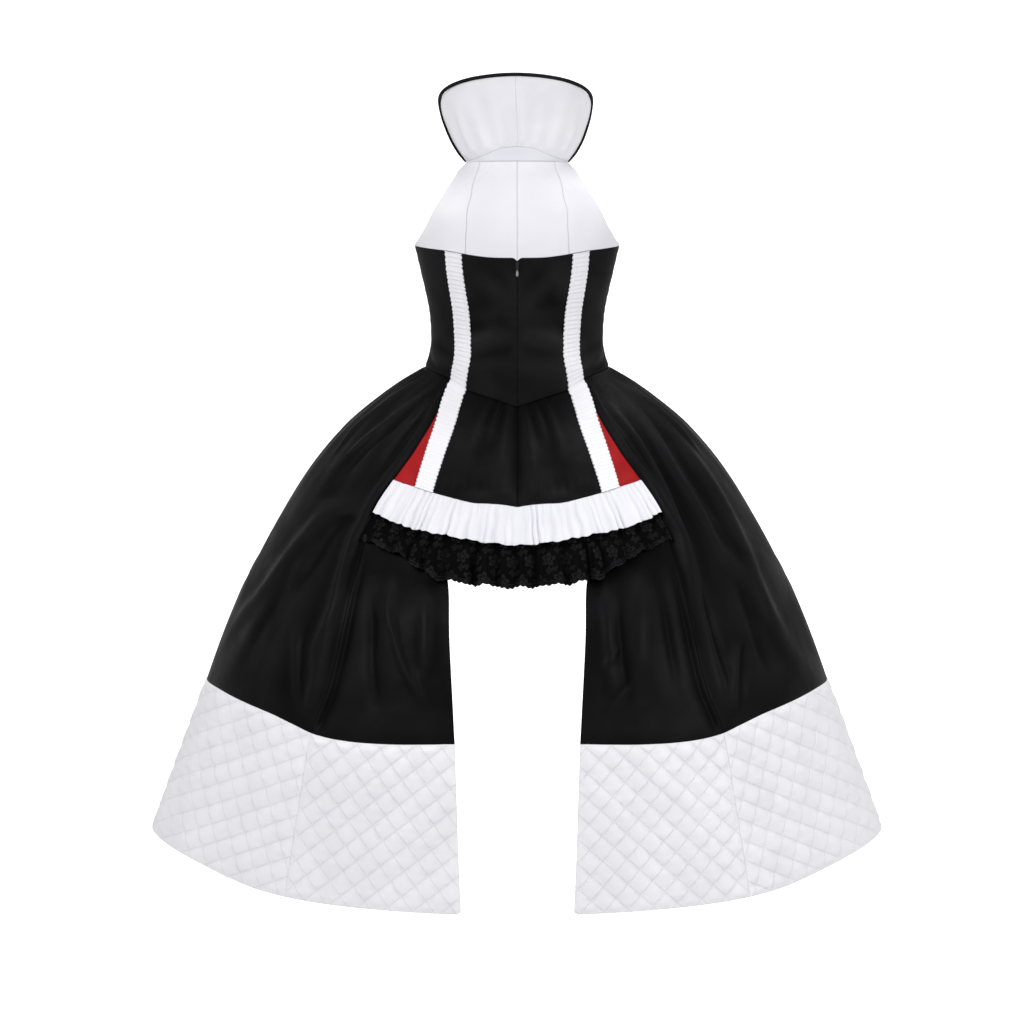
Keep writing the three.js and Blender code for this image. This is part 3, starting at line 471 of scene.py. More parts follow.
def noise(tree, vector, scale, detail=2.0, roughness=0.5):
    # soft noise from 0 to 1, round 0.5
    node = tree.nodes.new("ShaderNodeTexNoise")
    feed(tree, node.inputs["Vector"], vector)
    node.inputs["Scale"].default_value = scale
    node.inputs["Detail"].default_value = detail
    node.inputs["Roughness"].default_value = roughness
    return node.outputs[0]


def remap(tree, value, low, high, toLow=0.0, toHigh=1.0):
    # a smooth step from toLow at low to toHigh at high
    node = tree.nodes.new("ShaderNodeMapRange")
    node.interpolation_type = "SMOOTHSTEP"
    for socket, given in zip(node.inputs, (value, low, high, toLow, toHigh)):
        feed(tree, socket, given)
    return node.outputs[0]


def blendColour(tree, factor, a, b):
    # colour a at factor 0 and colour b at 1
    node = tree.nodes.new("ShaderNodeMix")
    node.data_type = "RGBA"
    feed(tree, node.inputs[0], factor)
    feed(tree, node.inputs[6], a)
    feed(tree, node.inputs[7], b)
    return node.outputs[2]


def makeWeaveGroup():
    # satin: long warp floats as fine ridges, broken now and then, over soft unevenness of the cloth
    group, given, out = newGroup(
        "satinWeave",
        [("Cloth", "NodeSocketVector", None), ("Place", "NodeSocketVector", None),
         ("Thread", "NodeSocketFloat", 0.0006), ("Crumple", "NodeSocketFloat", 0.5)],
        [("Height", "NodeSocketFloat"), ("Tone", "NodeSocketFloat")],
    )
    x, y = parts(group, given.outputs["Cloth"])[:2]
    turns = calc(group, "DIVIDE", x, given.outputs["Thread"])
    ridge = absolute(group, calc(group, "SINE", times(group, turns, np.pi)))
    stretched = joined(group, times(group, x, 900.0), times(group, y, 160.0))
    breaks = noise(group, stretched, 1.0)
    thread = times(group, ridge, breaks)
    soft = noise(group, given.outputs["Place"], 14.0, 2.0, 0.45)
    creased = noise(group, given.outputs["Place"], 46.0, 2.0, 0.5)
    crumple = plus(group, soft, times(group, creased, 0.22))
    height = times(group, crumple, given.outputs["Crumple"])
    group.links.new(calc(group, "MULTIPLY_ADD", thread, 0.012, height), out.inputs["Height"])
    group.links.new(remap(group, soft, 0.3, 0.7), out.inputs["Tone"])
    return group


def makeQuiltGroup():
    # distance to the nearest stitched line of a diamond grid, its thread dashes and the puckers beside it
    group, given, out = newGroup(
        "quiltLines",
        [("Cells", "NodeSocketVector", None)],
        [("Thread", "NodeSocketFloat"), ("Groove", "NodeSocketFloat"), ("Pucker", "NodeSocketFloat")],
    )
    p, q = parts(group, given.outputs["Cells"])[:2]
    gaps = []
    for value in (p, q):
        cycle = calc(group, "FRACT", plus(group, value, 0.5))
        gaps.append(absolute(group, minus(group, cycle, 0.5)))
    near = calc(group, "MINIMUM", *gaps)
    onP = calc(group, "LESS_THAN", gaps[0], gaps[1])
    run = plus(group, times(group, q, onP), times(group, p, minus(group, 1.0, onP)))
    cycle = calc(group, "FRACT", times(group, run, 9.0))
    dash = remap(group, absolute(group, minus(group, cycle, 0.5)), 0.28, 0.4, 1.0, 0.0)
    line = remap(group, near, 0.008, 0.022, 1.0, 0.0)
    group.links.new(times(group, line, dash), out.inputs["Thread"])
    group.links.new(remap(group, near, 0.0, 0.07, 1.0, 0.0), out.inputs["Groove"])
    ripple = noise(group, joined(group, times(group, run, 7.0), near, 0.0), 2.0, 2.0)
    fade = remap(group, near, 0.02, 0.3, 1.0, 0.0)
    group.links.new(times(group, ripple, fade), out.inputs["Pucker"])
    return group


# Each flower: size and place in shares of the repeat, with its petals and how far it is turned
laceFlowers = [(0.38, 5.0, 0.0, 0.0, 0.3), (0.2, 4.0, 0.5, 0.46, 0.0), (0.15, 3.0, 0.22, 0.5, 0.9)]


def makeLaceGroup():
    # net of crossing threads, with open-petalled flowers on a staggered grid and a thick border by the hem
    group, given, out = newGroup(
        "flowerLace",
        [("Cloth", "NodeSocketVector", None), ("Hem", "NodeSocketFloat", 0.0),
         ("Net", "NodeSocketFloat", 0.0019), ("Repeat", "NodeSocketFloat", 0.036)],
        [("Cover", "NodeSocketFloat"), ("Height", "NodeSocketFloat")],
    )
    x, y = parts(group, given.outputs["Cloth"])[:2]
    threads = []
    for sense in (1.0, -1.0):
        line = calc(group, "DIVIDE", calc(group, "MULTIPLY_ADD", y, sense, x), given.outputs["Net"])
        wave = absolute(group, calc(group, "SINE", times(group, line, np.pi)))
        threads.append(remap(group, wave, 0.2, 0.5, 0.35, 0.0))
    net = calc(group, "MAXIMUM", *threads)
    motifs = []
    for size, petals, shiftX, shiftY, turn in laceFlowers:
        px = plus(group, calc(group, "DIVIDE", x, given.outputs["Repeat"]), shiftX)
        py = plus(group, calc(group, "DIVIDE", y, given.outputs["Repeat"]), shiftY)
        odd = times(group, calc(group, "MODULO", calc(group, "FLOOR", py), 2.0), 0.5)
        cx = minus(group, calc(group, "FRACT", plus(group, px, odd)), 0.5)
        cy = minus(group, calc(group, "FRACT", py), 0.5)
        r = calc(group, "SQRT", plus(group, times(group, cx, cx), times(group, cy, cy)))
        swing = calc(group, "MULTIPLY_ADD", calc(group, "ARCTAN2", cy, cx), petals / 2, turn)
        lobe = absolute(group, calc(group, "COSINE", swing))
        reach = times(group, calc(group, "MULTIPLY_ADD", lobe, 0.5, 0.5), size)
        share = calc(group, "DIVIDE", r, reach)
        body = remap(group, share, 0.9, 1.0, 1.0, 0.0)
        hole = remap(group, absolute(group, minus(group, share, 0.42)), 0.05, 0.11, 1.0, 0.0)
        motifs.append(minus(group, body, times(group, hole, lobe)))
    flower = calc(group, "MAXIMUM", calc(group, "MAXIMUM", motifs[0], motifs[1]), motifs[2])
    border = remap(group, given.outputs["Hem"], 2.6, 3.4, 1.0, 0.0)
    cord = remap(group, absolute(group, minus(group, given.outputs["Hem"], 5.5)), 0.7, 1.1, 1.0, 0.0)
    edging = calc(group, "MAXIMUM", border, cord)
    ground = calc(group, "MAXIMUM", net, flower)
    group.links.new(calc(group, "MAXIMUM", ground, edging), out.inputs["Cover"])
    raised = calc(group, "MAXIMUM", times(group, flower, 0.8), edging)
    group.links.new(calc(group, "MULTIPLY_ADD", net, 0.3, raised), out.inputs["Height"])
    return group


weaveGroup = makeWeaveGroup()
quiltGroup = makeQuiltGroup()
laceGroup = makeLaceGroup()


def newMaterial(name, **values):
    # a material with its fixed values on the shader's own sockets
    material = bpy.data.materials.new(name)
    material.use_nodes = True
    tree = material.node_tree
    shader = next(n for n in tree.nodes if n.type == "BSDF_PRINCIPLED")
    for key, value in values.items():
        shader.inputs[key].default_value = value
    return material, tree, shader


def useGroup(tree, group, **links):
    # a group's node, its inputs linked or set
    node = tree.nodes.new("ShaderNodeGroup")
    node.node_tree = group
    for key, value in links.items():
        feed(tree, node.inputs[key], value)
    return node


def uvMap(tree, name):
    # one of the mesh's own maps
    node = tree.nodes.new("ShaderNodeUVMap")
    node.uv_map = name
    return node.outputs[0]


def attribute(tree, name):
    # one of the mesh's own values
    node = tree.nodes.new("ShaderNodeAttribute")
    node.attribute_name = name
    return node.outputs["Fac"]


def objectPlace(tree):
    # the place in the object's own frame
    return tree.nodes.new("ShaderNodeTexCoord").outputs["Object"]


def bumpInto(tree, shader, height, distance):
    # height as relief on the shader's normal, 1 standing for distance in metres
    node = tree.nodes.new("ShaderNodeBump")
    node.inputs["Distance"].default_value = distance
    feed(tree, node.inputs["Height"], height)
    tree.links.new(node.outputs[0], shader.inputs["Normal"])


def satin(name, dark, light, roughness, crumple, seam, shine, sheen=0.0):
    # woven satin: colour and gloss vary a little with the cloth; painted highlight on its ridges, painted
    # shade in its hollows, seams and edges
    values = {"Specular IOR Level": shine, "Sheen Weight": sheen, "Sheen Roughness": 0.4}
    material, tree, shader = newMaterial(name, **values)
    weave = useGroup(tree, weaveGroup, Cloth=uvMap(tree, "cloth"), Place=objectPlace(tree), Crumple=crumple)
    tone = calc(tree, "MULTIPLY_ADD", weave.outputs["Tone"], 0.5, 0.25)
    # painted light: where the relief stands out the colour is lighter as highlight, where it sinks it is
    # darker as shade
    tone = calc(tree, "MULTIPLY_ADD", attribute(tree, "swell"), 0.5, tone)
    colour = blendColour(tree, tone, dark + (1,), light + (1,))
    # painted shade along seams and edges: within 1.5 mm of an edge the colour darkens
    seamShade = remap(tree, attribute(tree, "edge"), 0.2, 1.5, seam, 0.0)
    colour = blendColour(tree, seamShade, colour, tuple(0.3 * c for c in dark) + (1,))
    # painted shade in the valleys of gathers and ruches, tinted blue-grey
    hollowShade = times(tree, attribute(tree, "valley"), 0.3)
    shaded = tuple(c * tint for c, tint in zip(dark, (0.66, 0.67, 0.75))) + (1,)
    tree.links.new(blendColour(tree, hollowShade, colour, shaded), shader.inputs["Base Color"])
    gloss = remap(tree, weave.outputs["Tone"], 0.0, 1.0, roughness + 0.04, roughness - 0.04)
    tree.links.new(gloss, shader.inputs["Roughness"])
    bumpInto(tree, shader, weave.outputs["Height"], 0.001)
    return material


# Dark and light colour, roughness, crumple, strength of the painted shade in the seams, shine and sheen
whiteSatin = satin("whiteSatin", (0.8, 0.79, 0.845), (0.88, 0.87, 0.91), 0.5, 2.0, 0.3, 0.3, 0.06)
collarSatin = satin("collarSatin", (0.8, 0.795, 0.86), (0.93, 0.92, 0.95), 0.5, 2.0, 0.05, 0.35, 0.1)
# the neckband's darker copy of the white satin: painted shade under the collar
shadedNeckSatin = satin("shadedNeckSatin", (0.7, 0.7, 0.76), (0.79, 0.785, 0.84), 0.5, 2.0, 0.3, 0.3)
blackSatin = satin("blackSatin", (0.0006, 0.0006, 0.0008), (0.0058, 0.0058, 0.0066), 0.45, 1.8, 0.2, 0.06)
blackBodice = satin("blackBodice", (0.0012, 0.0012, 0.0014), (0.011, 0.011, 0.012), 0.5, 1.6, 0.6, 0.08)
redSatin = satin("redSatin", (0.29, 0.005, 0.007), (0.39, 0.009, 0.011), 0.55, 1.8, 0.5, 0.1)
# the flounce's darker copy of the white satin: painted shade where the light from above falls strongly on it
flounceSatin = satin("flounceSatin", (0.77, 0.765, 0.815), (0.84, 0.835, 0.87), 0.5, 0.8, 0.3, 0.3)
trimSatin = satin("trimSatin", (0.82, 0.815, 0.86), (0.9, 0.895, 0.925), 0.5, 0.8, 0.2, 0.3)


def makeQuiltMaterial():
    # white satin with fine stitched lines, shown more by light than by colour though painted shade greys
    # their grooves a little, and puckers beside them
    material, tree, shader = newMaterial("quiltedSatin", **{"Specular IOR Level": 0.4})
    weave = useGroup(tree, weaveGroup, Cloth=uvMap(tree, "cloth"), Place=objectPlace(tree), Crumple=0.7)
    lines = useGroup(tree, quiltGroup, Cells=uvMap(tree, "quilt"))
    colour = blendColour(tree, weave.outputs["Tone"], (0.83, 0.82, 0.865, 1), (0.88, 0.87, 0.905, 1))
    # painted shade along the stitched grooves
    shade = times(tree, lines.outputs["Groove"], 0.045)
    colour = blendColour(tree, shade, colour, (0.6, 0.58, 0.68, 1))
    tree.links.new(colour, shader.inputs["Base Color"])
    feed(tree, shader.inputs["Roughness"], remap(tree, weave.outputs["Tone"], 0.0, 1.0, 0.5, 0.42))
    drop = calc(tree, "MULTIPLY_ADD", lines.outputs["Groove"], -0.6, weave.outputs["Height"])
    height = calc(tree, "MULTIPLY_ADD", lines.outputs["Thread"], 0.25, drop)
    bumpInto(tree, shader, calc(tree, "MULTIPLY_ADD", lines.outputs["Pucker"], 1.1, height), 0.001)
    return material


def makeLaceMaterial():
    # black lace on a black lining: net, flowers and border stand up from a ground painted darker as shade,
    # are painted lighter as highlight where raised, and painted shade darkens the ruffles' valleys
    material, tree, shader = newMaterial("flowerLace", **{"Specular IOR Level": 0.04, "Roughness": 0.5})
    lace = useGroup(tree, laceGroup, Cloth=uvMap(tree, "cloth"), Hem=attribute(tree, "hem"))
    # painted highlight: the raised net, flowers and border are lighter
    tone = blendColour(tree, lace.outputs["Height"], (0.0006, 0.0006, 0.0007, 1), (0.014, 0.014, 0.0155, 1))
    # painted shade in the net's gaps
    ground = blendColour(tree, lace.outputs["Cover"], (0.0003, 0.0003, 0.0004, 1), tone)
    # painted shade in the ruffles' valleys
    hollowShade = times(tree, attribute(tree, "valley"), 0.85)
    colour = blendColour(tree, hollowShade, ground, (0.0002, 0.0002, 0.0002, 1))
    tree.links.new(colour, shader.inputs["Base Color"])
    bumpInto(tree, shader, lace.outputs["Height"], 0.0022)
    return material


def makeMetalMaterial():
    # zip metal: brushed along its length, duller where it is handled, and dark above the tab's end
    material, tree, shader = newMaterial("zipMetal", **{"Metallic": 1.0})
    spot = objectPlace(tree)
    x, y, z = parts(tree, spot)
    brushed = noise(tree, joined(tree, times(tree, x, 9000.0), y, times(tree, z, 500.0)), 1.0)
    worn = noise(tree, spot, 260.0)
    colour = blendColour(tree, worn, (0.32, 0.32, 0.33, 1), (0.62, 0.62, 0.63, 1))
    colour = blendColour(tree, remap(tree, z, 0.172, 0.176), colour, (0.06, 0.06, 0.063, 1))
    tree.links.new(colour, shader.inputs["Base Color"])
    feed(tree, shader.inputs["Roughness"], remap(tree, brushed, 0.2, 0.8, 0.22, 0.4))
    bumpInto(tree, shader, brushed, 0.0001)
    return material


def makeTapeMaterial():
    # woven zip tape: fine herringbone ribs
    material, tree, shader = newMaterial("zipTape", **{"Roughness": 0.8, "Specular IOR Level": 0.3})
    spot = parts(tree, objectPlace(tree))
    slant = plus(tree, absolute(tree, spot[0]), spot[2])
    rib = calc(tree, "SINE", times(tree, slant, 5200.0))
    colour = blendColour(tree, remap(tree, rib, -1.0, 1.0), (0.006, 0.006, 0.007, 1), (0.02, 0.02, 0.022, 1))
    tree.links.new(colour, shader.inputs["Base Color"])
    bumpInto(tree, shader, rib, 0.0003)
    return material


quiltedSatin = makeQuiltMaterial()
flowerLace = makeLaceMaterial()
zipMetal = makeMetalMaterial()
zipTape = makeTapeMaterial()
print("materials: made")

sides = (("left", -1), ("right", 1))  # the wearer's sides, and the sign of x


def noRelief(angle, at, edges):
    # flat cloth, to which the quilting is added
    return 0 * angle


def seamDip(edges, names, depth=0.7, width=1.6):
    # the cloth turns in at its seams
    return -depth * sum(bump(edges[name], width) for name in names)


# Bodice
bodiceLook = {"height": 215, "rows": 70, "step": 3.4, "frontWidth": 210, "frontStep": 5, "drag": 2.6,
              "seamPucker": 0.35}


def bodiceRelief(angle, z, edges):
    # seams turned in, slack drag lines across the waist, and small puckers along the seams
    a = fromBack(angle)
    drag = bump(z - 62, 34) * np.sin(z / 9.5 + a / 14) * bump(a - 20, 26)
    drag += 0.8 * bump(z - 120, 40) * np.sin((z + a * 1.4) / 15 + 1) * bump(a - 24, 14)
    side = bump(a - 68, 20) * bump(z - 25, 26) * np.sin((z - a) / 6.5)
    near = np.minimum(edges["left"], edges["right"])
    pucker = bump(near, 7) * np.sin(z / 3.1 + 2 * np.sin(z / 17))
    slant = 0.5 * bump(z - 150, 30) * np.sin((0.7 * z - a * 2.2) / 8.5) * bump(a - 12, 12)
    wrinkle = bodiceLook["drag"] * (drag + side + slant) * ease(near, 1, 18)
    ends = ease(np.minimum(edges["start"], edges["end"]), 0, 6)
    return (wrinkle + bodiceLook["seamPucker"] * pucker) * ends + seamDip(edges, ("left", "right", "start"))


def buildBodice():
    # three panels on each side, from the centre back to the front's seam, and one front
    look = bodiceLook
    edges = {"bottom": waistZ, "top": bodiceTopZ, "guess": (-20, 200)}
    v = spaced(look["height"], look["height"] / look["rows"])

    def frontSeam(z):
        return 180 - bodiceSeam(z)

    panels = [("back", level(0), bodiceSeam, 95), ("side_back", bodiceSeam, level(90), 115),
              ("side_front", level(90), frontSeam, 115)]
    for name, sign in sides:
        for part, left, right, width in panels:
            u = spaced(width, look["step"])
            cloth(f"bodice_{part}_{name}", between(left, right, **edges), torsoForm, bodiceRelief, u, v,
                  blackBodice, sign=sign)
    u = spaced(look["frontWidth"], look["frontStep"])
    cloth("bodice_front", between(frontSeam, lambda z: 360 - frontSeam(z), **edges), torsoForm, bodiceRelief,
          u, v, blackBodice)


# Yoke
yokeLook = {"height": 165, "step": 4, "lip": 0.6, "frontWidth": 260}


def yokeRelief(angle, z, edges):
    # a thin lip along the centre back placket, and slack folds that fan from the princess seams
    a = fromBack(angle)
    lip = yokeLook["lip"] * bump(a - 1.7, 0.9) * (a < 12)
    fan = 0.7 * bump(a - 34, 12) * np.sin((a * 2.1 + z / 6) / 2.4) * bump(z - 322, 22)
    soft = 0.6 * np.sin(a / 6.5 + z / 38) * bump(z - 250, 36) * (a < 60)
    ends = ease(np.minimum.reduce(list(edges.values())), 0, 8)
    return lip + (fan + soft) * ends + seamDip(edges, ("left", "right"))


def buildYoke():
    # two panels on each side of the zip, out to the armholes, and one front between them
    look = yokeLook
    edges = {"bottom": bodiceTopZ, "top": neckZ, "guess": (205, 345)}
    v = spaced(look["height"], look["step"])
    panels = [("back", level(0), yokeSeam, spaced(60, 2.6)), ("side", yokeSeam, armhole, spaced(80, 3))]
    for name, sign in sides:
        for part, left, right, u in panels:
            cloth(f"yoke_{part}_{name}", between(left, right, **edges), torsoForm, yokeRelief, u, v,
                  whiteSatin, sign=sign)
    domain = between(lambda z: 180 - armhole(z), lambda z: 180 + armhole(z), **edges)
    cloth("yoke_front", domain, torsoForm, yokeRelief, spaced(look["frontWidth"], look["step"]), v,
          whiteSatin)


# Neckband
neckbandLook = {"reach": 84, "proud": 1.3, "width": 215, "height": 22}


def neckbandRelief(angle, z, edges):
    # its lower edge stands proud of the yoke where the crescent is deep
    return neckbandLook["proud"] * bump(edges["start"], 7) * ease(collarBaseZ(angle) - 347, 4, 10) + 0 * z


def buildNeckband():
    # a crescent between the yoke and the collar, over the back
    look = neckbandLook
    domain = between(level(-look["reach"]), level(look["reach"]), neckZ, collarBaseZ, (347, 365))
    u, v = spaced(look["width"], 2.5), spaced(look["height"], 1.6, (0, 0.2, 0.6, 1.1))
    cloth("neckband", domain, torsoForm, neckbandRelief, u, v, shadedNeckSatin)


# Fan collar and its binding
collarLook = {"binding": 2.95, "bore": 2.0, "gap": -0.4, "aside": 3.6, "half": 1.1, "reach": 87.6,
              "width": 150, "height": 118, "columns": 110, "rows": 38, "steps": 220, "sides": 18}
# Each fold: its angle, how soon it rises from the seam, width in degrees and height
collarFolds = [
    (-70, 0.2, 6, 4), (-50, 0.14, 5, 4.4), (-33, 0.1, 4.5, 3), (-17, 0.08, 4, 2.2), (5, 0.12, 4, 2),
    (19, 0.1, 5, 2.6), (36, 0.13, 5, 3), (54, 0.16, 5, 3.6), (71, 0.2, 6, 4),
]


def collarEdge(u):
    # the free edge from the right of the neck, over the back, to the left: the table's rows and their mirror
    angles, heights = collarEdgeTable["angle"], collarEdgeTable["z"]
    last = 2 * len(angles) - 2
    mirrored = [-a for a in angles[-2::-1]]
    table = {"at": range(last + 1), "angle": angles + mirrored, "z": heights + heights[-2::-1]}
    return along(table, "at", "angle", u * last), along(table, "at", "z", u * last)


def bindingAside(angle, z):
    # how far the binding has left the collar's end for its outer side: none at the top, all at the sides
    return np.sin(np.radians(angle)) ** 2 * ease(z - collarBaseZ(angle), -14, 14)


def collarPlace(u, v, sign):
    # the angle and height for u along the free edge and v up from the neck, clear of the binding,
    # with the point of the free edge that each column runs to
    look = collarLook
    edgeAngle, edgeZ = collarEdge(u)
    clear = look["binding"] + look["gap"]
    here = collarForm(edgeAngle, edgeZ, 0)
    perDegree = np.linalg.norm(collarForm(edgeAngle + 0.5, edgeZ, 0) - here, axis=-1) * 2
    perRise = np.linalg.norm(collarForm(edgeAngle, edgeZ + 0.5, 0) - here, axis=-1) * 2
    aheadAngle, aheadZ = collarEdge(np.clip(u + 1e-3, 0, 1))
    behindAngle, behindZ = collarEdge(np.clip(u - 1e-3, 0, 1))
    run = np.stack([(aheadAngle - behindAngle) * perDegree, (aheadZ - behindZ) * perRise])
    run /= np.linalg.norm(run, axis=0)
    base = 2 * look["reach"] * (0.5 - u)
    baseZ = collarBaseZ(base) + seamHalf
    topAngle = np.clip(edgeAngle - run[1] * clear / perDegree, -look["reach"], look["reach"])
    topZ = np.maximum(edgeZ + run[0] * clear / perRise, baseZ + 1.5)
    middleGap = np.where(sign > 0, u - 0.5, 0.5 - u)
    inset = sign * np.degrees(seamHalf / 75) * bump(middleGap, 0.002)
    return base + (topAngle - base) * v + inset, baseZ + (topZ - baseZ) * v, topAngle, topZ, baseZ


def buildCollar():
    # two halves that meet at the centre back, with fanned folds, and the binding round their free edge
    look = collarLook
    for name, sign in sides:
        half = spaced(look["width"], look["width"] / look["columns"], (0, 0.4, 1.0, 2.0)) * 0.5
        v = spaced(look["height"], look["height"] / look["rows"])
        u, v = np.meshgrid(half if sign > 0 else 0.5 + half, v, indexing="ij")
        angle, z, topAngle, topZ, baseZ = collarPlace(u, v, sign)
        relief = np.zeros_like(v)
        for centre, reach, width, rise in collarFolds:
            ridge = bump(angle - centre * (1 + 0.1 * v), width * (1 + 0.5 * v))
            relief += rise * ridge * (1 - ease(v, 0.3, 1)) * ease(v, 0, reach)
        relief += 1.5 * np.sin(angle / 7 + 3 * v) * bump(v - 0.62, 0.3)
        relief -= 3 * bump(np.abs(angle) - 62, 16) * bump(v - 0.75, 0.3)
        # swell feeds the satin's painted highlight and shade
        swell = swellOf(relief, 5)
        relief += 0.35 * np.sin(angle * 1.9) * np.exp(-v / 0.12) * ease(v, 0, 0.03)
        follow = 0.4 + 0.45 * ease(topZ - baseZ, 50, 85)
        relief += follow * look["aside"] * bindingAside(topAngle, topZ) * ease(v, 0.55, 1)
        flat = collarForm(angle, z, 0 * z)
        across, down = runLengths(flat, 0), runLengths(flat, 1)
        nearest = np.minimum.reduce([across, across[-1:] - across, down, down[:, -1:] - down])
        wall = wallOf(nearest, look["half"])
        uv = np.stack([across.mean(axis=1)[:, None] + 0 * down, down], axis=-1) / 1000
        faces = [collarForm(angle, z, relief + side) for side in (wall, -wall)]
        values = {"edge": nearest, "swell": swell}
        piece = meshFromGrids(f"collar_{name}_cloth", *faces, uv, collarSatin, None, values)
        finishPiece(piece, f"collar_{name}")
    buildBinding(look)


def tube(name, path, radius, bore, count, finish):
    # a folded strip: a round wall carried along a path, with a bore, so that its cloth is one layer
    tangent = np.gradient(path, axis=0)
    tangent /= np.linalg.norm(tangent, axis=1, keepdims=True)
    outward = path * [1, 1, 0]
    outward /= np.linalg.norm(outward, axis=1, keepdims=True)
    sideways = np.cross(tangent, outward)
    sideways /= np.linalg.norm(sideways, axis=1, keepdims=True)
    normal = np.cross(sideways, tangent)
    turn = np.linspace(0, 2 * np.pi, count, endpoint=False)
    ring = np.cos(turn)[None, :, None] * normal[:, None] + np.sin(turn)[None, :, None] * sideways[:, None]
    steps = len(path)
    layers = [path[:, None] + ring * reach for reach in (radius, bore)]
    points = np.concatenate([layer.reshape(-1, 3) for layer in layers]) / 1000
    index = np.arange(steps * count).reshape(steps, count)
    after = np.roll(index, -1, axis=1)
    skin = np.stack([index[:-1], index[1:], after[1:], after[:-1]], axis=-1).reshape(-1, 4)
    inner = steps * count
    start = np.stack([after[0], after[0] + inner, index[0] + inner, index[0]], axis=-1)
    end = np.stack([index[-1], index[-1] + inner, after[-1] + inner, after[-1]], axis=-1)
    faces = facingOut(points, np.concatenate([skin, skin[:, ::-1] + inner, start, end]))
    length = runLengths(path, 0)
    uv = np.stack([np.broadcast_to(turn[None, :] * radius, (steps, count)),
                   np.broadcast_to(length[:, None], (steps, count))], axis=-1) / 1000
    maps = {"cloth": np.concatenate([uv.reshape(-1, 2)] * 2)}
    far = np.full(2 * inner, 50.0)  # no seam is near
    return meshObject(name, points, faces, maps, {"edge": far}, finish)


def buildBinding(look):
    # a folded strip along the free edge, which stands a little further out at the sides
    angle, z = collarEdge(np.linspace(0, 1, look["steps"]))
    path = collarForm(angle, z, look["aside"] * bindingAside(angle, z))
    piece = tube("collar_binding_cloth", path, look["binding"], look["bore"], look["sides"], blackBodice)
    finishPiece(piece, "collar_binding")


# Back skirt, gussets and flounces
backSkirtLook = {"fold": 4, "foldWidth": 1.6, "gathers": 1.0, "width": 120, "height": 200, "gussetWidth": 40}


def backSkirtRelief(angle, share, edges=None):
    # the part's own folds; with edges given, fine gathers below the waist and soft hanging folds as well
    a = np.abs(angle)
    depth = backSkirtLook["fold"] * (0.35 + 0.65 * ease(share, 0, 0.06)) * (1 - 0.7 * ease(share, 0.1, 0.17))
    out = folds(peplumFolds, a, share) - depth * bump(a, backSkirtLook["foldWidth"])
    if edges is None:
        return out
    gathers = np.sin(a * 3.1 + 1.2 * np.sin(a * 0.9)) * bump(a - 8, 9) * np.exp(-share / 0.03)
    hanging = 3 * np.sin(a / 2.9 + 0.8) * bump(a - 12, 12) - 3 * bump(a, 2.4)
    hanging = hanging * ease(share, 0.04, 0.13) * (1 - ease(share, 0.165, 0.186))
    fine = 0.35 * np.sin(a * 2.2 + share * 30) * bump(share - 0.17, 0.02)
    out += (backSkirtLook["gathers"] * gathers + hanging + fine) * ease(edges["start"], 0, 5)
    return out + seamDip(edges, ("left", "right", "start"))


def gussetRelief(angle, share, edges):
    # two slack folds across the corner, and seams turned in
    middle = np.minimum(edges["left"], edges["right"])
    slack = np.sin(edges["start"] / 9 + edges["left"] / 11) * ease(middle, 0, 14) * ease(edges["end"], 0, 8)
    return slack + seamDip(edges, ("left", "right"), 0.5)


def buildBackSkirt():
    # on each side a black panel from the waist's point, and a red gusset beside it
    look = backSkirtLook
    edges = {"bottom": level(0), "top": backHemLine, "guess": (0, backHem), "radius": 120}
    v = spaced(look["height"], 3)
    for name, sign in sides:
        u = spaced(look["width"], 1.8)
        cloth(f"back_skirt_{name}", between(level(0), skirtSeam, **edges), skirtForm, backSkirtRelief, u, v,
              blackSatin, sign=sign, lift=-1)
        u = spaced(look["gussetWidth"], 2.4)
        cloth(f"gusset_{name}", between(skirtSeam, gussetSeam, **edges), skirtForm, gussetRelief, u, v,
              redSatin, sign=sign, lift=-1)


def hungFaces(angle, share, out, wall, drop):
    # the outer and inner faces of cloth on the skirt's form, hung lower by drop
    faces = []
    for side in (wall, -wall):
        face = skirtForm(angle, share, out + side)
        face[..., 2] -= drop
        faces.append(face)
    return faces


flounceLook = {"depth": 62, "half": 0.9, "waves": 38, "top": 1.3, "hem": 2.9, "stand": 4.4, "columns": 640,
               "rows": 24}


def gather(turns):
    # a gather's cross-section, from -1 in a narrow valley to 1 on a broad crest
    return 2 * np.abs(np.cos(np.pi * turns)) ** 0.8 - 1


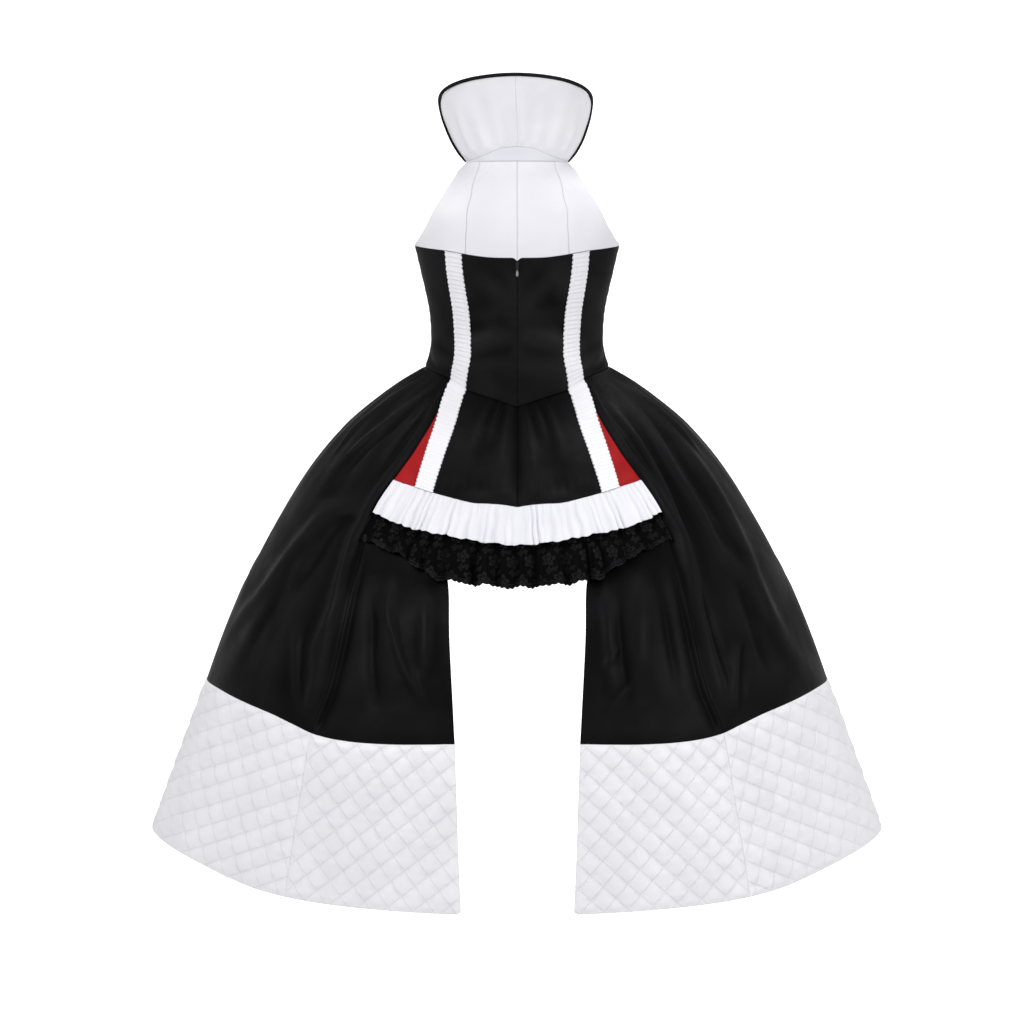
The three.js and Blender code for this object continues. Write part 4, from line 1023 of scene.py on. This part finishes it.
def buildFlounce():
    # white cloth gathered into the short skirt's hem: the count's own wave, pushed about in place and height,
    # with finer gathers that die out downwards
    look = flounceLook
    domain = between(lambda s: -gussetSeam(s), gussetSeam, backHemLine, flounceHemLine, (backHem, flounceHem),
                     radius=250)
    rows = spaced(look["depth"], look["depth"] / look["rows"])
    u, v = np.meshgrid(np.linspace(0, 1, look["columns"]), rows, indexing="ij")
    angle, share, gap = domain(u, v)
    shifted = u + 0.008 * np.sin(31 * u + 1) + 0.005 * np.sin(67 * u) + 0.0016 * np.sin(9 * v + 60 * u)
    size = 0.7 + 0.4 * np.sin(47 * u + 0.4) + 0.35 * np.sin(89 * u + 2 + 0.8 * v)
    wave = gather(look["waves"] * shifted) * size * (look["top"] + (look["hem"] - look["top"]) * v)
    wave += 1.3 * np.sin(2 * np.pi * 17 * shifted + 1.3) * ease(v, 0.1, 0.9)
    wave += 0.8 * gather(71 * shifted + 0.3) * np.exp(-v / 0.3)
    wave += 0.4 * gather(131 * shifted) * np.exp(-v / 0.1)
    side = 1 - ease(np.abs(angle), 35, 38.5)
    stand = look["stand"] * v + 1.8 * np.sin(np.pi * v) ** 0.7
    hemDrop = (np.sin(2 * np.pi * 13 * u + 0.7) + 0.5 * np.sin(2 * np.pi * 31 * u)) * v**3
    follow = backSkirtRelief(angle, share) * (1 - ease(share, 0.19, 0.23)) * 0.6
    out = stand + wave * (0.3 + 0.7 * side) + follow
    centre = skirtForm(angle, share, out)
    down = runLengths(centre, 1)
    nearest = np.minimum(down, look["depth"] * (1 - v))
    faces = hungFaces(angle, share, out, wallOf(nearest, look["half"]), gap + hemDrop)
    uv = np.stack([runLengths(centre, 0).mean(axis=1)[:, None] + 0 * v, down], axis=-1) / 1000
    # valley: painted shade in the gathers' valleys
    values = {"edge": nearest, "valley": np.clip(0.5 - 0.3 * wave, 0, 1)}
    piece = meshFromGrids("flounce_cloth", *faces, uv, flounceSatin, None, values)
    finishPiece(piece, "flounce")


laceLook = {"depth": 130, "half": 0.7, "fromGusset": 0.25, "waves": 15, "top": 0.172, "scallop": 1.9,
            "scallopWidth": 10, "columns": 700, "rows": 38}


def laceHemLine(angle):
    # the share of the lace's hem, which hangs lowest in the middle
    return along(laceHemTable, "angle", "share", fromBack(angle))


def buildLace():
    # broad ruffles that open from under the flounce down to a scalloped hem, with finer ones on them
    look = laceLook

    def edge(share):
        return gussetSeam(share) - look["fromGusset"]

    domain = between(lambda s: -edge(s), edge, level(look["top"]), laceHemLine, (look["top"], 0.34), low=0,
                     high=0, radius=280)
    rows = spaced(look["depth"], look["depth"] / look["rows"])
    u, v = np.meshgrid(np.linspace(0, 1, look["columns"]), rows, indexing="ij")
    angle, share = domain(u, v)[:2]
    shifted = u + 0.012 * np.sin(23 * u + 2) + 0.006 * np.sin(51 * u) + 0.004 * np.sin(5 * v + 40 * u)
    phase = gather(look["waves"] * shifted)
    size = 0.85 + 0.3 * np.sin(37 * u) + 0.2 * np.sin(71 * u + 1)
    calm = 1 - 0.4 * ease(np.abs(angle), 22, 30) - 0.4 * ease(np.abs(angle), 35, 38.5)
    wave = along(laceTable, "share", "wave", share) * phase * size * calm
    fine = np.sin(2 * np.pi * 47 * shifted + 2 * np.sin(30 * u)) + 0.6 * np.sin(2 * np.pi * 83 * u + 9 * v)
    wave += 0.6 * fine * ease(v, 0.45, 0.8) * calm
    shade = np.clip(0.45 - 0.6 * phase * size, 0, 1) * ease(share, 0.24, 0.29)
    follow = backSkirtRelief(angle, share) * (1 - ease(share, 0.19, 0.25))
    out = along(laceTable, "share", "depth", share) + follow + wave
    centre = skirtForm(angle, share, out)
    down = runLengths(centre, 1)
    edgeRun = runLengths(centre, 0)[:, -1:]
    # scallops along the cloth's own length, which hang below the hem line, and the ruffles' own rise and fall
    lobe = np.abs(np.sin(np.pi * edgeRun / look["scallopWidth"]))
    drop = look["scallop"] * lobe + 2.4 * np.sin(2 * np.pi * 11 * u + 1) + 1.4 * np.sin(2 * np.pi * 19 * u)
    fall = v**5 * drop
    hem = (1 - v) * look["depth"]
    faces = hungFaces(angle, share, out, wallOf(np.minimum(hem, down), look["half"]), fall)
    uv = np.stack([edgeRun + 0 * v, down + fall], axis=-1) / 1000
    values = {"hem": hem, "valley": shade}
    piece = meshFromGrids("lace_flounce_cloth", *faces, uv, flowerLace, None, values)
    finishPiece(piece, "lace_flounce")


# Ruched trims
trimLook = {"halfWidth": 13.6, "waves": {"torso": 30, "skirt": 28}, "clear": 1.6, "body": 1.3, "ruche": 1.7,
            "perWave": 10, "across": 18, "lobe": 2.3, "torsoRadius": 0.84, "skirtRadius": 28}


def trimBase(across, v, out):
    # a place beside the seam line: v 0 to 1 runs down the bodice and 1 to 2 down the back skirt
    onTorso = v <= 1
    reach = across * trimLook["halfWidth"]
    torsoPlace = 200 - 210 * v
    skirtPlace = backHem * (v - 1)
    torsoAngle = skirtAngle = 0 * v
    seamEnd = waistZ(bodiceSeam(0 * v))
    for step in range(8):
        radius = trimLook["torsoRadius"] * along(torsoTable, "z", "halfWidth", torsoPlace)
        torsoAngle = bodiceSeam(torsoPlace) + np.degrees(reach / radius)
        straight = (bodiceTopZ(torsoAngle) - 0.4) * (1 - v) + seamEnd * v
        torsoPlace = straight + (waistZ(torsoAngle) - seamEnd) * np.clip(v, 0, 1) ** 5
        radius = along(skirtTable, "share", "depth", skirtPlace) + trimLook["skirtRadius"]
        skirtAngle = skirtSeam(skirtPlace) + np.degrees(reach / radius)
        skirtPlace = (backHemLine(skirtAngle) - 0.001) * (v - 1)
    upper = torsoForm(torsoAngle, torsoPlace, out)
    lower = skirtForm(skirtAngle, np.clip(skirtPlace, 0, 1), out)
    return np.where(onTorso[..., None], upper, lower)


def buildTrims():
    # ruched ribbon over the seam: a puffed middle between two stitched lines, and frilled edges that scallop
    look = trimLook
    counts = look["waves"]
    upper = np.linspace(0, 1, counts["torso"] * look["perWave"] + 1)
    lower = 1 + np.linspace(0, 1, counts["skirt"] * look["perWave"] + 1)[1:]
    u, v = np.meshgrid(np.linspace(-1, 1, look["across"] + 1), np.concatenate([upper, lower]), indexing="ij")
    turns = np.where(v <= 1, counts["torso"] * v, counts["torso"] + counts["skirt"] * (v - 1))
    shifted = turns + 0.12 * np.sin(turns * 2.3) + 0.1 * np.sin(turns * 0.9 + u * 0.5)
    stitched = 0.55 * bump(np.abs(u) - 0.62, 0.11)
    puff = 0.75 * (1 - np.abs(u) ** 2.5) + 0.35 * bump(np.abs(u) - 0.82, 0.16)
    pinch = 0.5 + 0.5 * np.cos(2 * np.pi * shifted)
    lift = look["ruche"] * (puff * (0.45 + 0.55 * pinch) - 0.75 * stitched * (0.4 + 0.6 * pinch))
    lift += 0.16 * np.sin(2 * np.pi * shifted * 2 + 0.8 * u) * (1 - stitched)
    edge = np.abs(u) ** 8
    lobe = np.sqrt(np.abs(np.cos(np.pi * shifted))) - 0.7
    scallop = 1 + look["lobe"] / look["halfWidth"] * lobe * edge
    body = look["body"] + np.maximum(lift, -0.9) * (1 - 0.6 * edge)
    base = trimBase(u * scallop, v, look["clear"] + body)
    under = trimBase(u * scallop, v, look["clear"] + 0 * v)
    # painted shade in the pinches and along the stitched lines
    valley = np.clip(0.25 * stitched * pinch + 0.3 * (1 - pinch) ** 2 * (1 - edge), 0, 1)
    run = runLengths(base, 1).mean(axis=0)
    uv = np.stack([u * look["halfWidth"], run[None, :] + 0 * u], axis=-1) / 1000
    values = {"edge": look["halfWidth"] * (1 - np.abs(u)), "valley": valley}
    for name, sign in sides:
        flip = np.array([sign, 1, 1])
        piece = meshFromGrids(f"trim_{name}_cloth", base * flip, under * flip, uv, trimSatin, None, values)
        finishPiece(piece, f"trim_{name}")


# Long skirts
longLook = {"roll": 11, "gathers": 1.8, "gatherPitch": 2.1, "seen": 0.35, "calm": 22}
# Fine creases of the hidden side, in the same columns as its folds
sideCreases = [
    (75, 72, 0, 0.2, -2, 1.6, 2.6), (86, 88, 0, 0.16, 0, 1.8, 1.8), (98, 100, 0, 0.3, 0, 1.8, 3),
    (88, 90, 0.4, 0.69, 0, 2.4, 2.5), (106, 108, 0.3, 0.69, 0, 2, 4),
]
# Creases on each side of the back: their angles, their shares, width and height in millimetres
creasePaths = {
    "left": [
        ([39.8, 43.7, 48.3, 54.9, 58.4, 62.3, 66.9, 75, 79.3],
         [0.19, 0.214, 0.244, 0.269, 0.317, 0.376, 0.452, 0.526, 0.601], 20, 8),
        ([44.4, 47.5, 49.6, 51, 52.8], [0.255, 0.281, 0.32, 0.37, 0.431], 15, -6),
        ([39.5, 40.7, 41.4, 39.8], [0.403, 0.468, 0.518, 0.588], 11, 4),
        ([48.5, 45.5, 40.6], [0.473, 0.55, 0.648], 12, 4),
        ([46, 43.6, 39.6], [0.5, 0.57, 0.648], 7, -3.5),
        ([51.2, 53.7, 58.8, 62.5], [0.02, 0.081, 0.129, 0.186], 8, 6),
        ([47.5, 49, 52, 55.5], [0.02, 0.081, 0.129, 0.2], 6, -4),
        ([42.8, 43.5, 44.4], [0.04, 0.112, 0.175], 6, 5),
        ([66.9, 68.9, 70.7, 71.5], [0.015, 0.058, 0.109, 0.17], 9, 6),
        ([57, 58, 61, 63], [0.36, 0.43, 0.52, 0.6], 20, -4),
    ],
    "right": [
        ([45.6, 44.6, 44, 43.3, 43.3], [0.03, 0.109, 0.188, 0.263, 0.34], 8, 7),
        ([49.3, 46.6, 46.2, 46.2, 46.2], [0.04, 0.138, 0.227, 0.304, 0.38], 8, -6),
        ([54.3, 50.7, 51.6, 52, 52], [0.06, 0.164, 0.228, 0.295, 0.37], 11, 7),
        ([60.5, 57, 57, 57.5], [0.06, 0.164, 0.24, 0.32], 9, -4),
        ([66, 64, 62.8, 60.7, 61.9, 63], [0.1, 0.22, 0.327, 0.453, 0.544, 0.6], 24, 8),
        ([41.5, 41.3, 42, 43], [0.351, 0.467, 0.56, 0.62], 9, -5),
        ([47.2, 43.6, 40.7], [0.5, 0.571, 0.645], 8, 4.5),
        ([50, 46.4, 42.6], [0.5, 0.571, 0.645], 8, -3.5),
        ([54, 53, 52.5], [0.4, 0.5, 0.6], 14, -4),
        ([70, 71, 71.5], [0.02, 0.08, 0.17], 9, 6),
    ],
}
backPaths = {
    "left": [
        ([28.6, 25.3, 22.5, 18.7, 16.2], [0.39, 0.445, 0.505, 0.564, 0.61], 5, 3.6),
        ([28.6, 27, 25.8], [0.34, 0.423, 0.51], 13, 5),
        ([19.5, 18, 17], [0.36, 0.46, 0.56], 12, 5),
        ([33, 30, 28, 25], [0.38, 0.45, 0.53, 0.62], 10, -4),
        ([19.5, 15.6], [0.52, 0.6], 5, 2.4),
    ],
    "right": [
        ([28.3, 25.1, 23.1], [0.32, 0.421, 0.54], 19, 7),
        ([19.2, 18, 17], [0.34, 0.44, 0.58], 9, 4),
        ([32.5, 31, 30], [0.34, 0.46, 0.6], 9, -4),
        ([20.5, 15.2], [0.47, 0.53], 5, 2.6),
        ([21, 15.6], [0.55, 0.61], 5, 2.6),
        ([22.5, 20.5, 20], [0.36, 0.46, 0.6], 8, -3),
    ],
}


def creases(paths, angle, share):
    # soft ridges and hollows along given paths: a bell across the path, fading at its ends
    height = np.zeros(np.broadcast(angle, share).shape)
    perDegree = np.radians(along(skirtTable, "share", "halfWidth", share))
    for angles, shares, width, rise in paths:
        path = {"share": shares, "angle": angles}
        centre = along(path, "share", "angle", share)
        above, below = (along(path, "share", "angle", share + step) for step in (-0.004, 0.004))
        slope = (below - above) / 0.008
        away = (angle - centre) * perDegree / np.sqrt(1 + (slope * perDegree / skirtFall) ** 2)
        s = (share - shares[0]) / (shares[-1] - shares[0])
        fade = ease(s, -0.05, 0.3) * (1 - ease(s, 0.6, 1.05))
        height += rise * fade * bump(away, width)
    return height


def calmed(out, edges):
    # folds die away above the quilted band
    return out * (0.05 + 0.95 * ease(edges["end"], 0, longLook["calm"]))


def sideGoreRelief(name):
    # the part's folds and rolled edge, the creases seen in the cloth, and gathers at the waist
    def relief(angle, share, edges):
        past = angle - gussetSeam(share)
        beside = 2.3 + 0.4 * ease(share, 0.3, 0.4)
        roll = bump(past - beside, beside - 1) * ease(share, 0, 0.06) * (1 - 0.3 * ease(share, 0.3, 0.42))
        roll = longLook["roll"] * roll * (1 - ease(share, 0.58, 0.66)) * ease(past, 0, 1.4)
        out = tuck(share) * bump(past, 2.2) + roll
        seen = longLook["seen"] + (1 - longLook["seen"]) * ease(angle, 74, 88)
        out += folds(sideFolds, angle, share) * ease(past, 0, 3.5) * seen
        out += folds(sideCreases, angle, share)
        out += creases(creasePaths[name], angle, share) * ease(past, 0, 2)
        turns = 2 * np.pi * angle / longLook["gatherPitch"] + 1.3 * np.sin(angle * 0.7)
        fade = ease(edges["start"], 0, 6) * ease(edges["left"], 0, 10)
        out += longLook["gathers"] * (np.sin(turns) * np.exp(-share / 0.028)) * fade
        return calmed(out, edges) + seamDip(edges, ("start", "end", "right")) - 0.6 * bump(edges["left"], 1.6)

    return relief


def backGoreRelief(name):
    # soft folds from under the lace down to the band, short ones that leave the slit, and a turned edge
    def relief(angle, share, edges):
        near = np.minimum(angle - slitEdge(share), gussetSeam(share) - angle)
        out = tuck(share) + 0.3 * folds(backFolds, angle, share) * ease(near, 0, 2.5) * ease(share, 0.3, 0.4)
        out += creases(backPaths[name], angle, share) * ease(near, 0, 2)
        valley = gussetSeam(share) - angle
        out -= 5 * bump(valley - 1, 1.5) * ease(share, 0.32, 0.42) * ease(valley, 0, 1.2)
        return calmed(out, edges) + seamDip(edges, ("end",)) - 0.6 * bump(edges["right"], 1.6)

    return relief


def buildLongSkirts():
    # on each side a wide gore from the waist, and a back gore that hangs from under the lace to the slit
    for name, sign in sides:
        domain = between(gussetSeam, frontEdge, level(0), bandTopLine, (0, bandTop), radius=130)
        u, v = spaced(520, 3.5), spaced(640, 7)
        cloth(f"side_gore_{name}", domain, skirtForm, sideGoreRelief(name), u, v, blackSatin,
              sign=sign, lift=-1)
        domain = between(slitEdge, gussetSeam, level(0.166), bandTopLine, (0.17, bandTop), radius=300, low=0)
        u, v = spaced(190, 2.6), spaced(430, 6)
        cloth(f"back_gore_{name}", domain, skirtForm, backGoreRelief(name), u, v, blackSatin,
              sign=sign, lift=-1)


# Quilted hem bands
quiltLook = {"pitch": (27.5, 26), "loft": 4.4, "step": 3.4, "border": 4.0, "widest": 2.0, "corner": 7.0,
             "height": 250, "seenUp": (0, 0.139, 0.99), "hemRoll": 2.4, "cornerRadius": 480,
             "slopes": {"back_left": (38, 54), "side_left": (21, 73),
                        "back_right": (42, 49), "side_right": (24, 77)}}


def quiltCells(angle, share, fall, climb):
    # whole numbers on the stitched lines: one family falls to the side and one climbs, as seen from behind;
    # past the hip's side the cloth's own length is used, shortened
    degrees = np.arange(0, 126)
    turn = np.radians(degrees)
    arc = np.sqrt(np.cos(turn) ** 2 + 0.62 * np.sin(turn) ** 2)
    run = np.cumsum(np.maximum(np.cos(turn), arc / quiltLook["widest"])) * np.radians(1)
    x = along(skirtTable, "share", "halfWidth", share) * np.interp(angle, degrees, run)
    height = skirtForm(angle, share, 0 * angle) @ np.array(quiltLook["seenUp"])
    fall, climb = np.radians(fall), np.radians(climb)
    p = (np.sin(fall) * x + np.cos(fall) * height) / quiltLook["pitch"][0]
    q = (-np.sin(climb) * x + np.cos(climb) * height) / quiltLook["pitch"][1]
    return np.stack([p, q], axis=-1)


def quiltRelief(cells, edges, angle):
    # pillows between the lines, between a dome and a pyramid, with a fold or two towards their corners
    p, q = cells[..., 0], cells[..., 1]
    a, b = np.abs(np.sin(np.pi * p)), np.abs(np.sin(np.pi * q))
    arch = 0.78 * a**0.7 * (0.68 + 0.32 * b**0.7) + 0.22 * np.minimum(a, b)
    arch *= 1 - 0.45 * ease(angle, 58, 74)
    arch -= 0.07 * np.cos(2 * np.pi * (p + q))
    uneven = np.sin(np.floor(p) * 12.9898 + np.floor(q) * 78.233) * 43758.5453
    uneven = uneven - np.floor(uneven)
    u, v = p - np.floor(p) - 0.5, q - np.floor(q) - 0.5
    tilt = 0.5 * np.sin(uneven * 40) * u + 0.5 * np.cos(uneven * 61) * v
    tuckAt = np.sin(9 * (u + v) + 30 * uneven) * bump(a - 0.55, 0.4) * bump(b - 0.55, 0.4)
    nearest = np.minimum.reduce(list(edges.values()))
    border = ease(nearest, quiltLook["border"] * 0.6, quiltLook["border"] * 2)
    half = quiltLook["hemRoll"]
    hemRoll = half / 2 * np.sqrt(np.clip(1 - ((nearest - half) / half) ** 2, 0, 1)) * (nearest < 2 * half)
    return quiltLook["loft"] * (arch * (0.8 + 0.25 * uneven + tilt) + 0.08 * tuckAt) * border + hemRoll


def hemCorner(angle):
    # the hem turns up in a small arc at the slit
    reach = quiltLook["corner"]
    away = np.clip(np.radians(fromBack(angle) - slitEdge(1.0)) * quiltLook["cornerRadius"], 0, reach)
    return 1 - (reach - np.sqrt(reach**2 - (reach - away) ** 2)) / skirtFall


def buildQuilts():
    # a band below each long gore, with its own slopes
    look = quiltLook
    edges = {"bottom": bandTopLine, "guess": (bandTop, 1), "radius": 450}
    v = spaced(look["height"], look["step"])
    bands = (("back", slitEdge, gussetSeam, 270, hemCorner), ("side", gussetSeam, frontEdge, 740, level(1)))
    for name, sign in sides:
        for part, left, right, width, hem in bands:
            node = f"{part}_{name}"
            u = spaced(width, look["step"])
            cloth(f"quilt_{node}", between(left, right, top=hem, **edges), skirtForm, noRelief, u, v,
                  quiltedSatin, sign=sign, lift=-1, quilt=look["slopes"][node])


# Short front skirt
def frontSkirtRelief(angle, share, edges):
    # wide folds, gathers at the waist and soft waves below them
    a = fromBack(angle)
    out = folds(frontFolds, a, share)
    out += 1.4 * np.sin(a * 1.9 + 1.1 * np.sin(a * 0.6)) * np.exp(-share / 0.03) * ease(edges["start"], 0, 6)
    out += 2.2 * np.sin(a / 4.1) * ease(share, 0.08, 0.24)
    return out + seamDip(edges, ("start", "left", "right"))


def buildFrontSkirt():
    # a short plain skirt between the long gores' front edges
    domain = between(frontEdge, lambda s: 360 - frontEdge(s), level(0), level(frontHem), (0, frontHem),
                     radius=130)
    cloth("front_skirt", domain, skirtForm, frontSkirtRelief, spaced(560, 6), spaced(300, 8), blackSatin,
          lift=-1)


buildBodice()
buildYoke()
buildNeckband()
buildCollar()
print("bodice, yoke and collar: made")
buildBackSkirt()
buildFlounce()
buildLace()
buildTrims()
print("back skirt, flounces and trims: made")
buildLongSkirts()
buildQuilts()
buildFrontSkirt()
print("long skirts: made")

# Zip: the part's own solids, with a new finish
for node, finish in (("zip_tape", zipTape), ("zip_slider", zipMetal), ("zip_pull", zipMetal)):
    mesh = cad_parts[node].data
    mesh.materials.clear()
    mesh.materials.append(finish)
print("zip: finished")


# Stage
stageLook = {"floorZ": -1.03, "world": 0.5, "glow": 0.16, "paper": 0.9, "bounce": 0.55}
# Each light: its power in watts, its size and where it stands, in metres
stageLights = {
    "keyLight": (66, 1.8, (-2.3, -2.6, 2.2)),
    "fillLight": (44, 2.2, (2.9, -2.2, 1.0)),
    "topLight": (72, 2.4, (0.3, 0.9, 3.0)),
}
cameraLook = {"lens": 95.88, "sensor": 36, "place": (-0.00825, -4.4562, 0.398), "tilt": 82, "far": 60}


def areaLight(name, power, size, location, target=(0, 0, -0.1)):
    # a square light that faces the target
    data = bpy.data.lights.new(name, "AREA")
    data.energy = power
    data.size = size
    light = bpy.data.objects.new(name, data)
    light.location = location
    away = np.array(location) - np.array(target)
    across = np.hypot(away[0], away[1])
    light.rotation_euler = (np.arctan2(across, away[2]), 0, np.arctan2(away[1], away[0]) + np.pi / 2)
    bpy.context.scene.collection.objects.link(light)


def buildPaper():
    # a pale floor that bends up into a pale wall; other rays find it darker, so black cloth stays black
    bend = np.radians(np.linspace(0, 90, 16))
    profileY = np.concatenate([[-9], 3.5 + 2.5 * np.sin(bend), [6.0]])
    profileZ = np.concatenate([[0], 2.5 * (1 - np.cos(bend)), [8.0]]) + stageLook["floorZ"]
    points = np.array([[x, y, z] for x in (-9, 9) for y, z in zip(profileY, profileZ)])
    k = np.arange(len(profileY) - 1)
    faces = np.stack([k, k + len(profileY), k + len(profileY) + 1, k + 1], axis=-1)
    finish, tree, shader = newMaterial("palePaper", **{"Roughness": 0.9, "Specular IOR Level": 0.1})
    tint = noise(tree, objectPlace(tree), 3.0)
    paper = blendColour(tree, tint, (0.9, 0.9, 0.9, 1), (0.92, 0.92, 0.92, 1))
    seen = tree.nodes.new("ShaderNodeLightPath").outputs["Is Camera Ray"]
    bounce = (stageLook["bounce"],) * 3 + (1,)
    tree.links.new(blendColour(tree, seen, bounce, paper), shader.inputs["Base Color"])
    shader.inputs["Emission Color"].default_value = (1, 1, 1, 1)
    glow = calc(tree, "MULTIPLY_ADD", seen, stageLook["paper"] - stageLook["glow"], stageLook["glow"])
    tree.links.new(glow, shader.inputs["Emission Strength"])
    meshObject("paper", points, faces, {}, {}, finish)


def buildLight():
    # an even white sky and the stage's soft lights
    world = bpy.data.worlds.new("studio")
    world.use_nodes = True
    back = world.node_tree.nodes["Background"]
    back.inputs["Strength"].default_value = stageLook["world"]
    back.inputs["Color"].default_value = (1, 1, 1, 1)
    bpy.context.scene.world = world
    for name, (power, size, location) in stageLights.items():
        areaLight(name, power, size, location)


def buildCamera():
    # the photograph's own view, from behind and a little above
    camera = bpy.data.cameras.new("camera")
    camera.lens = cameraLook["lens"]
    camera.sensor_width = cameraLook["sensor"]
    camera.clip_end = cameraLook["far"]
    seat = bpy.data.objects.new("camera", camera)
    seat.location = cameraLook["place"]
    seat.rotation_euler = (np.radians(cameraLook["tilt"]), 0, 0)
    bpy.context.scene.collection.objects.link(seat)
    bpy.context.scene.camera = seat
    bpy.context.scene.view_settings.view_transform = "Standard"


buildPaper()
buildLight()
buildCamera()
print("stage: made")
